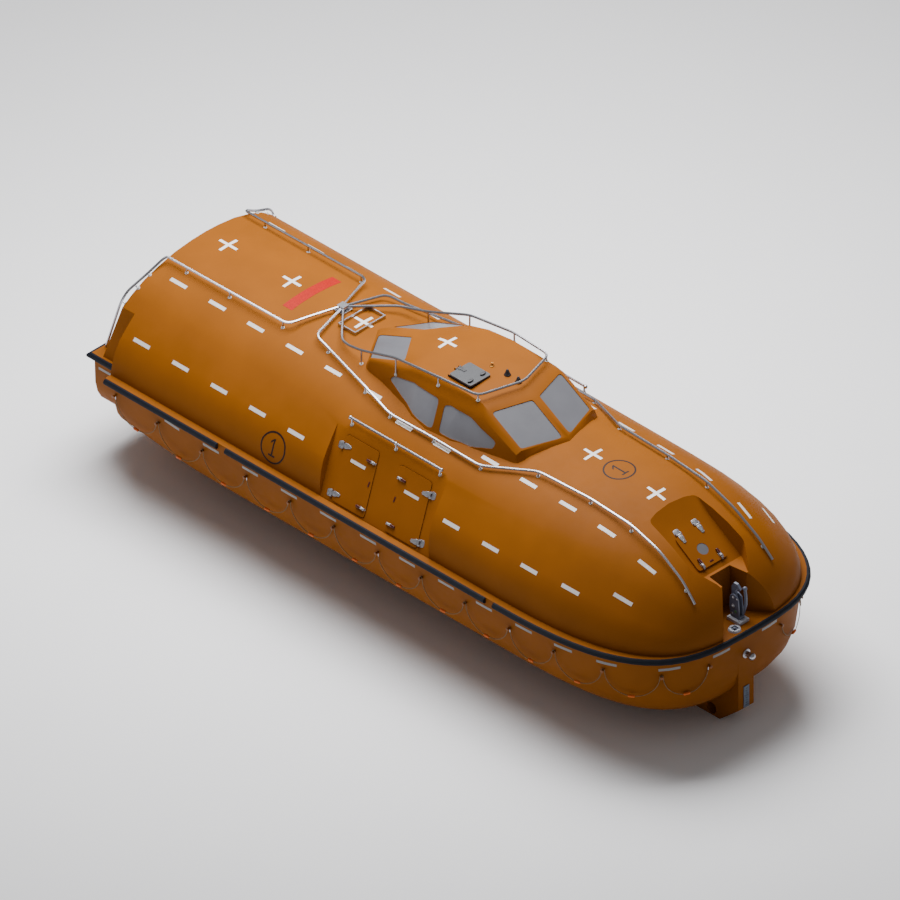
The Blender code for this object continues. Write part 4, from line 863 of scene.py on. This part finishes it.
def ringed_numeral(settings, skin, start, toward, right):
    """Numeral one inside a ring, laid on the skin."""
    radius = settings.ring_diameter / 2
    stroke = settings.ring_width
    ring = bmesh.new()
    for reach in (radius, radius - stroke):
        bmesh.ops.create_circle(ring, segments=72, radius=reach)
    bmesh.ops.bridge_loops(ring, edges=ring.edges[:])
    drape(ring, skin, start, toward, right, settings.tape_lift)
    # Half height, half foot and flag as shares of the ring's radius
    height, foot, flag = [radius * share for share in (0.56, 0.26, 0.20)]
    half = stroke / 2
    under = height - 1.3 * stroke
    outline = [(-foot, -height), (foot, -height), (foot, stroke - height), (half, stroke - height),
               (half, height), (-half, height), (-half - flag, height - flag), (-half - flag, under - flag),
               (-half, under), (-half, stroke - height), (-foot, stroke - height)]
    pour(ring, drape(flat_sheet(outline), skin, start, toward, right, settings.tape_lift))
    return ring


class LIFEBOAT_OT_numbers(Operator):
    """Prints the ringed number on both flanks and on the foredeck"""
    bl_idname = "lifeboat.numbers"
    bl_label = "Numbers"

    def execute(self, context):
        settings = context.scene.lifeboat_markings
        mat = screen_print("screen_print", context.scene.lifeboat_finishes.print)
        skin = skin_of("canopy")
        x, z = FLANK_NUMBER
        for name, side in SIDES:
            bm = ringed_numeral(settings, skin, (x, side * FAR, z), (0, -side, 0), (-side, 0, 0))
            add_piece("number_" + name, bm, mat)
        bm = ringed_numeral(settings, skin, (DECK_NUMBER, 0.0, FAR), (0, 0, -1), (0, 1, 0))
        add_piece("number_foredeck", bm, mat)
        return {"FINISHED"}


class LIFEBOAT_OT_name_patch(Operator):
    """Sticks the blank red patch across the after roof"""
    bl_idname = "lifeboat.name_patch"
    bl_label = "Blank red patch"

    def execute(self, context):
        settings = context.scene.lifeboat_markings
        mat = screen_print("red_film", context.scene.lifeboat_finishes.film)
        sheet = drape(flat_sheet(oblong(*PATCH_SIZE)), skin_of("canopy"), (*PATCH_PLACE, FAR), (0, 0, -1),
                      (0, 1, 0), settings.tape_lift)
        add_piece("red_patch", sheet, mat)
        return {"FINISHED"}


def hinge_cover(face, size):
    """Pointed strap plate of a hinge on the leaf, with its bolts; in the hinge's frame."""
    half = ((0.036, 0.023), (0.043, 0.040), (0.041, 0.070), (0.031, 0.105), (0.017, 0.140), (0.006, 0.160))
    top = max(face + 0.0095, 0.0215)
    bm = plate(mirrored(half), face + 0.0003, top, 0.003)
    for x, y in ((-0.022, 0.052), (0.022, 0.052), (0.0, 0.112)):
        pour(bm, bolt_head(size), at(x, y, top))
    return bm


def hinge_foot(size):
    """Plate of a hinge on the frame, with its knuckles and bolts; in the hinge's frame."""
    half = ((0.034, -0.098), (0.050, -0.086), (0.057, -0.060), (0.057, -0.014))
    bm = plate(mirrored(half), 0.0003, 0.0045, 0.0015)
    for x in (-0.0421, 0.0421):
        pour(bm, rounded_box((x - 0.0113, -0.035, 0.0003), (x + 0.0113, 0.0105, 0.0286), 0.005))
    for x in (-0.030, 0.030):
        pour(bm, bolt_head(size), at(x, -0.066, 0.0045))
    return bm


def red_mark(x, y):
    """Thin red mark from its half sizes, on Z = 0."""
    return rounded_box((-x, -y, 0.0003), (x, y, 0.004), 0.0015)


def latch_parts(size):
    """Metal part and grip of a latch; X runs from the free edge toward the hinges."""
    metal = rounded_box((-0.076, -0.0180, 0.0003), (0.006, 0.0180, 0.0272), 0.006)
    pour(metal, plate([(-0.090, -0.013), (0.020, -0.024), (0.020, 0.024), (-0.090, 0.013)], 0.0003, 0.005,
                      0.0015))
    pour(metal, turned(((0.0, 0.027), (0.015, 0.027), (0.015, 0.033), (0.012, 0.036), (0.0, 0.036))),
         at(-0.030, 0, 0))
    pour(metal, bolt_head(size * 0.8), at(-0.030, 0, 0.036))
    grip = rounded_box((0.002, -0.0175, 0.0003), (0.094, 0.0175, 0.0285), 0.008)
    return metal, grip


class LIFEBOAT_OT_door_fittings(Operator):
    """Fits hinge plates, latches and red marks to the side doors and the bow hatch"""
    bl_idname = "lifeboat.door_fittings"
    bl_label = "Door fittings"

    def execute(self, context):
        finishes = context.scene.lifeboat_finishes
        size = context.scene.lifeboat_fittings.bolt_size
        steel = cast_stainless(finishes.fitting)
        red = painted_plate("red_enamel", finishes.signal, 0.35)
        feet = bmesh.new()
        for body, side, edges in doors():
            metal = bmesh.new()
            marks = bmesh.new()
            for place in HINGE_PLACES:
                hinge = door_hinge_frame(side, *edges, place)
                pour(metal, hinge_cover(DOOR_PROUD, size), hinge)
                pour(feet, hinge_foot(size), hinge)
            for place in LATCH_PLACES:
                latch = latch_frame(side, *edges, place)
                body_part, grip = latch_parts(size)
                pour(metal, body_part, latch)
                pour(marks, grip, latch)
            mark = latch_frame(side, *edges, MARK_UP) @ at(MARK_IN - LATCH_IN, 0, 0)
            pour(marks, red_mark(0.013, 0.042), mark)
            add_piece("hardware_" + body, metal, steel, body)
            add_piece("grips_" + body, marks, red, body)
        metal = bmesh.new()
        marks = bmesh.new()
        for y in HATCH_HINGES:
            hinge = hatch_frame(y)
            pour(metal, hinge_cover(HATCH_FACE, size), hinge)
            pour(feet, hinge_foot(size), hinge)
            body_part, grip = latch_parts(size)
            # The hatch's latches are broader and higher than the doors'
            turn = Matrix.Rotation(math.radians(-90), 4, "Z") @ Matrix.Scale(1.25, 4, (0, 1, 0))
            place = hinge @ at(0, HATCH_LATCH_DOWN, HATCH_FACE)
            lift = Matrix.Scale(1.12, 4, (0, 0, 1))
            pour(metal, body_part, place @ turn @ lift)
            pour(marks, grip, place @ turn @ lift)
        mark = hatch_frame(0.0) @ at(0, HATCH_MARK_DOWN, HATCH_FACE)
        pour(marks, red_mark(0.036, 0.013), mark)
        body = frame["nodes"]["bow_hatch"]["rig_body"]
        add_piece("hardware_bow_hatch", metal, steel, body)
        add_piece("grips_bow_hatch", marks, red, body)
        add_piece("hinge_feet", feet, steel)
        return {"FINISHED"}


class LIFEBOAT_OT_roof_fittings(Operator):
    """Fits the handles and seal of the roof hatch, the vents and the roof light"""
    bl_idname = "lifeboat.roof_fittings"
    bl_label = "Roof fittings"

    def execute(self, context):
        finishes = context.scene.lifeboat_finishes
        cap = painted_plate("moulded_cap", finishes.cap, 0.5)
        bm = bmesh.new()
        quarter = Matrix.Rotation(math.radians(90), 4, "Z")
        lens = [(0.055 * math.cos(a), 0.026 * math.sin(a)) for a in [k * math.pi / 12 for k in range(24)]]
        for y in ROOF_HANDLES:
            pour(bm, plate(lens, HANDLE_FOOT, 0.053, 0.008), at(HANDLE_X, y, ROOF_TOP) @ quarter)
        pour(bm, plate([(0.8 * x, y) for x, y in lens], HANDLE_FOOT, 0.036, 0.003),
             at(ROOF_HINGE[0] + 0.05, ROOF_HINGE[1], ROOF_TOP) @ quarter)
        add_piece("roof_handles", bm, cap, frame["nodes"]["roof_hatch"]["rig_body"])
        add_piece("roof_seal", rounded_box(*ROOF_SEAL, 0.010), moulded_rubber(finishes.rubber))

        house = skin_of("wheelhouse")
        bell = ((0.0, -0.006), (0.054, -0.006), (0.054, 0.006), (0.047, 0.018), (0.038, 0.034),
                (0.031, 0.054), (0.025, 0.074), (0.017, 0.090), (0.008, 0.100), (0.0, 0.103))
        for name, x in ROOF_VENTS:
            top = touch(house, (x, 0.001, FAR), (0, 0, -1))[0]
            vent = turned(bell, 36)
            bmesh.ops.translate(vent, vec=(x, 0.0, top.z), verts=vent.verts)
            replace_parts(add_piece(name + "_bell", vent, cap), name)
        lamp = turned(((0.0, -0.006), (0.034, -0.006), (0.034, 0.006), (0.024, 0.012), (0.022, 0.026),
                       (0.013, 0.034), (0.012, 0.054), (0.015, 0.057), (0.015, 0.062), (0.0, 0.064)), 32)
        top = touch(house, (ROOF_LIGHT, 0.001, FAR), (0, 0, -1))[0]
        bmesh.ops.translate(lamp, vec=(ROOF_LIGHT, 0.0, top.z), verts=lamp.verts)
        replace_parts(add_piece("roof_light_base", lamp, cast_bronze(finishes.bronze)), "roof_light")
        return {"FINISHED"}


class LIFEBOAT_OT_rail_fittings(Operator):
    """Puts feet under the rail posts and end balls on the door rails"""
    bl_idname = "lifeboat.rail_fittings"
    bl_label = "Rail fittings"

    def execute(self, context):
        finishes = context.scene.lifeboat_finishes
        radius = context.scene.lifeboat_fittings.foot_diameter / 2
        skin = skin_of("canopy", "wheelhouse")
        feet = bmesh.new()
        balls = bmesh.new()
        flange = ((0.0, -0.004), (radius, -0.004), (radius, 0.004), (radius * 0.86, 0.007), (0.019, 0.008),
                  (0.017, 0.020), (0.0, 0.020))
        ahead, inward, down = STERN_POST_RAY
        for side in (-1, 1):
            rays = [((x, side * y, FAR), (0, 0, -1)) for x, y in POSTS]
            rays += [((x, side * y, z), (ahead, -side * inward, down)) for x, y, z in STERN_POSTS]
            for start, toward in rays:
                pour(feet, turned(flange, 20), standing(*touch(skin, start, toward)))
            places, y, z = DOOR_RAIL
            for x in places:
                ball = bmesh.new()
                bmesh.ops.create_uvsphere(ball, u_segments=20, v_segments=12, radius=0.031)
                pour(balls, ball, at(x, side * y, z))
        add_piece("post_feet", feet, painted_plate("nylon_foot", finishes.foot, 0.45))
        add_piece("rail_balls", balls, brushed_stainless(finishes.tube))
        return {"FINISHED"}


class LIFEBOAT_OT_hook_fittings(Operator):
    """Fits pins, bolts and indicators to the release hooks, and the deck ring's and the stem's fittings"""
    bl_idname = "lifeboat.hook_fittings"
    bl_label = "Hook and stem fittings"

    def execute(self, context):
        finishes = context.scene.lifeboat_finishes
        size = context.scene.lifeboat_fittings.bolt_size
        steel = cast_stainless(finishes.fitting)
        metal = bmesh.new()
        tags = bmesh.new()
        dark = bmesh.new()
        pin = ((0.0, -0.004), (0.024, -0.004), (0.024, 0.005), (0.020, 0.009), (0.011, 0.009), (0.009, 0.015),
               (0.0, 0.016))
        for x, lean in HOOKS:
            ahead, aside = HOOK_BOLTS
            for a in (-ahead, ahead):
                for y in (-aside, aside):
                    pour(metal, bolt_head(size * 1.5), at(x + a, y, DECK + CHEEK))
            for side in (-1, 1):
                for a, b, scale in HOOK_PINS:
                    place = standing((x + lean * a, side * CHEEK, DECK + b), (0, side, 0))
                    pour(metal, turned(pin, 24), place @ Matrix.Scale(scale, 4))
            # The indicator is on the starboard cheek: the arm stands beside the other one
            tag = turned(((0.0, -0.003), (0.026, -0.003), (0.026, 0.004), (0.022, 0.006), (0.0, 0.006)), 24)
            pour(tags, tag, standing((x, -CHEEK, DECK + HOOK_TAG_UP), (0, -1, 0)))
        knob = ((0.0, 0.008), (0.018, 0.008), (0.018, 0.022), (0.026, 0.028), (0.026, 0.034), (0.020, 0.038),
                (0.0, 0.039))
        pour(dark, turned(knob), at(*RING, DECK))
        out, foot = RING_BOLTS
        for a in [k * math.pi / 3 for k in range(6)]:
            bolt = at(out * math.cos(a), out * math.sin(a), foot)
            pour(metal, bolt_head(size * 0.8), at(*RING, DECK) @ bolt)
        collar = ((0.044, -0.002), (0.074, -0.002), (0.074, 0.008), (0.060, 0.014), (0.044, 0.014))
        pour(metal, turned(collar), standing(PAINTER, (1, 0, 0)))
        add_piece("hook_pins", metal, steel)
        add_piece("ring_knob", dark, painted_plate("ring_enamel", finishes.iron, 0.5))
        add_piece("hook_indicators", tags, painted_plate("green_enamel", finishes.tag, 0.4))
        draught = bmesh.new()
        for k in range(8):
            half = 0.038 if k % 4 == 0 else 0.022
            place = at(*DRAUGHT_FOOT) @ at(0, 0, DRAUGHT_STEP * k)
            pour(draught, rounded_box((0.0001, -half, -0.0035), (0.0015, half, 0.0035), 0.0004), place)
        add_piece("draught_marks", draught, screen_print("screen_print", finishes.print))
        return {"FINISHED"}


def side_plan():
    """Plan of the port side moved out to the middle of the grab lines, from the quarter to the nose."""
    points = []
    start, reach, depth = SIDE_QUARTER
    for x in SIDE_AFT:
        share = min(max((start - x) / reach, 0.0), 1.0)
        points.append(Vector((x, SIDE_HALF - depth * share * share * (3 - 2 * share))))
    for k in range(16, -1, -1):
        angle = k * math.pi / 32
        points.append(Vector((SIDE_BOW + SIDE_REACH * abs(math.cos(angle)) ** SIDE_POWER,
                              SIDE_HALF * math.sin(angle) ** SIDE_POWER)))
    line = []
    for i, point in enumerate(points):
        run = points[min(i + 1, len(points) - 1)] - points[max(i - 1, 0)]
        outward = Vector((-run.y, run.x)).normalized()
        line.append(point + outward * GRAB_OUT)
    return line


def along_at(line, x):
    """Distance along a plan line to the place where it reaches an X."""
    run = 0.0
    for a, b in zip(line, line[1:]):
        if b.x >= x:
            return run + (b - a).length * (x - a.x) / (b.x - a.x)
        run += (b - a).length
    return run


def on_line(line, distance):
    """Point at a distance along a plan line, and the outward direction there."""
    for a, b in zip(line, line[1:]):
        step = (b - a).length
        if distance <= step or b is line[-1]:
            ahead = (b - a) / step
            return a + ahead * distance, Vector((-ahead.y, ahead.x))
        distance -= step


def grab_route(line, first, last):
    """A grab line's places, as distance along the side and height, and the middle of each loop.

    The rope turns over each peg in a half circle and hangs from peg to peg in half an ellipse.
    """
    pegs = [along_at(line, x) for x in GRAB_PEGS[first:last + 1]]
    places = []
    middles = []
    for near, far in zip(pegs, pegs[1:]):
        if places:
            for k in range(1, 12):
                angle = math.pi * k / 12
                places.append((near - GRAB_TURN * math.cos(angle), GRAB_Z + GRAB_TURN * math.sin(angle)))
        middle = (near + far) / 2
        half = (far - near) / 2 - GRAB_TURN
        for k in range(41):
            angle = math.pi * k / 40
            places.append((middle - half * math.cos(angle), GRAB_Z - GRAB_SAG * math.sin(angle)))
        middles.append((middle, GRAB_Z - GRAB_SAG))
    return places, middles


def twisted_rope(points, sides, diameter, lay):
    """Three-strand rope along a route: a straight laid rope is spun, then bent onto the route's points."""
    runs = [0.0]
    for a, b in zip(points, points[1:]):
        runs.append(runs[-1] + (b - a).length)
    rings = math.ceil(runs[-1] / (lay / LAY_STEPS))
    bm = bmesh.new()
    bmesh.ops.create_circle(bm, segments=12, radius=diameter / 2)
    for k, vert in enumerate(bm.verts):
        vert.co *= STRANDS[k % 4]
    bmesh.ops.spin(bm, geom=bm.verts[:] + bm.edges[:], cent=(0, 0, 0), axis=(0, 0, 1),
                   dvec=(0, 0, runs[-1] / rings), angle=-2 * math.pi * runs[-1] / lay, steps=rings)
    bm.verts.ensure_lookup_table()
    index = 0
    for vert in sorted(bm.verts, key=lambda v: v.co.z):
        while index < len(points) - 2 and runs[index + 1] < vert.co.z:
            index += 1
        share = (vert.co.z - runs[index]) / (runs[index + 1] - runs[index])
        ahead = (points[index + 1] - points[index]).normalized()
        outward = sides[index].lerp(sides[index + 1], share).normalized()
        up = outward.cross(ahead).normalized()
        middle = points[index].lerp(points[index + 1], share)
        vert.co = middle + outward * vert.co.x + up * vert.co.y
    bmesh.ops.holes_fill(bm, edges=[edge for edge in bm.edges if edge.is_boundary])
    return bm


class LIFEBOAT_OT_grab_lines(Operator):
    """Hangs the grab lines from their pegs, with floats and ferrules"""
    bl_idname = "lifeboat.grab_lines"
    bl_label = "Grab lines"

    def execute(self, context):
        finishes = context.scene.lifeboat_finishes
        sizes = context.scene.lifeboat_fittings
        rope_mat = laid_rope(finishes.rope)
        foam = moulded_foam(finishes.float)
        steel = brushed_stainless(finishes.tube)
        line = side_plan()
        half = sizes.float_length / 2
        wide = sizes.float_diameter / 2
        shape = [(0.0, -half), (wide * 0.45, -half)]
        shape += [(wide * (0.45 + 0.55 * math.sin(a)), -half * (0.62 + 0.38 * math.cos(a)))
                  for a in [k * math.pi / 12 for k in range(1, 7)]]
        shape += [(radius, -height) for radius, height in reversed(shape)]
        ferrule = ((0.0, 0.0), (0.0068, 0.0), (0.0082, 0.004), (0.0082, 0.046), (0.0068, 0.050), (0.0, 0.050))
        cap = ((0.0, 0.0), (0.026, 0.0), (0.026, 0.003), (0.020, 0.008), (0.0, 0.011))
        peg_mat = painted_plate("peg_enamel", finishes.laminate, 0.5)
        for name, side in SIDES:
            flip = Vector((1, side, 1))
            caps = bmesh.new()
            for x in GRAB_PEGS:
                point, outward = on_line(line, along_at(line, x))
                start = Vector((point.x, point.y, GRAB_Z)) * flip
                out = outward.to_3d() * flip
                pour(caps, turned(cap, 24), standing(start + out * PEG_END, out))
            add_piece("peg_caps_" + name, caps, peg_mat)
            for number, (first, last) in enumerate(GRAB_LENGTHS, 1):
                places, middles = grab_route(line, first, last)
                points = []
                sides = []
                for along, z in places:
                    point, outward = on_line(line, along)
                    points.append(Vector((point.x, point.y, z)) * flip)
                    sides.append(outward.to_3d() * flip)
                node = "grab_line_%s_%d" % (name, number)
                body = frame["nodes"][node]["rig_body"]
                bm = twisted_rope(points, sides, sizes.rope_diameter, sizes.rope_lay)
                rope = add_piece(node + "_rope", bm, rope_mat, body, sharp=80)
                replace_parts(rope, node)
                floats = bmesh.new()
                for along, z in middles:
                    point, outward = on_line(line, along)
                    ahead = Vector((outward.y, -outward.x, 0.0)) * flip
                    pour(floats, turned(shape, 24), standing(Vector((point.x, point.y, z)) * flip, ahead))
                beads = add_piece(node + "_floats", floats, foam, body)
                ends = bmesh.new()
                for tip, other in ((points[0], points[1]), (points[-1], points[-2])):
                    pour(ends, turned(ferrule, 16), standing(tip, other - tip))
                ferrules = add_piece(node + "_ferrules", ends, steel, body)
        return {"FINISHED"}


class LIFEBOAT_PT_pieces(Panel):
    """Lists the steps that dress the boat"""
    bl_idname = "LIFEBOAT_PT_pieces"
    bl_label = "Enclosed lifeboat"
    bl_space_type = "VIEW_3D"
    bl_region_type = "UI"
    bl_category = "Lifeboat"

    def draw(self, context):
        for step in STEPS:
            self.layout.operator(step.bl_idname)
        for group in (context.scene.lifeboat_finishes, context.scene.lifeboat_markings,
                      context.scene.lifeboat_fittings, context.scene.lifeboat_stage):
            box = self.layout.box()
            for name in group.bl_rna.properties.keys():
                if name not in ("rna_type", "name"):
                    box.prop(group, name)


STEPS = (LIFEBOAT_OT_stage, LIFEBOAT_OT_mouldings, LIFEBOAT_OT_metalwork, LIFEBOAT_OT_glazing,
         LIFEBOAT_OT_tapes, LIFEBOAT_OT_crosses, LIFEBOAT_OT_numbers, LIFEBOAT_OT_name_patch,
         LIFEBOAT_OT_door_fittings, LIFEBOAT_OT_roof_fittings, LIFEBOAT_OT_rail_fittings,
         LIFEBOAT_OT_hook_fittings, LIFEBOAT_OT_grab_lines)
GROUPS = (("lifeboat_finishes", LifeboatFinishes), ("lifeboat_markings", LifeboatMarkings),
          ("lifeboat_fittings", LifeboatFittings), ("lifeboat_stage", LifeboatStage))


def register():
    for name, group in GROUPS:
        bpy.utils.register_class(group)
        setattr(bpy.types.Scene, name, PointerProperty(type=group))
    for step in STEPS:
        bpy.utils.register_class(step)
    bpy.utils.register_class(LIFEBOAT_PT_pieces)


def unregister():
    bpy.utils.unregister_class(LIFEBOAT_PT_pieces)
    for step in reversed(STEPS):
        bpy.utils.unregister_class(step)
    for name, group in reversed(GROUPS):
        delattr(bpy.types.Scene, name)
        bpy.utils.unregister_class(group)


def main():
    register()
    for step in STEPS:
        family, action = step.bl_idname.split(".")
        getattr(getattr(bpy.ops, family), action)()


if __name__ == "__main__":
    main()
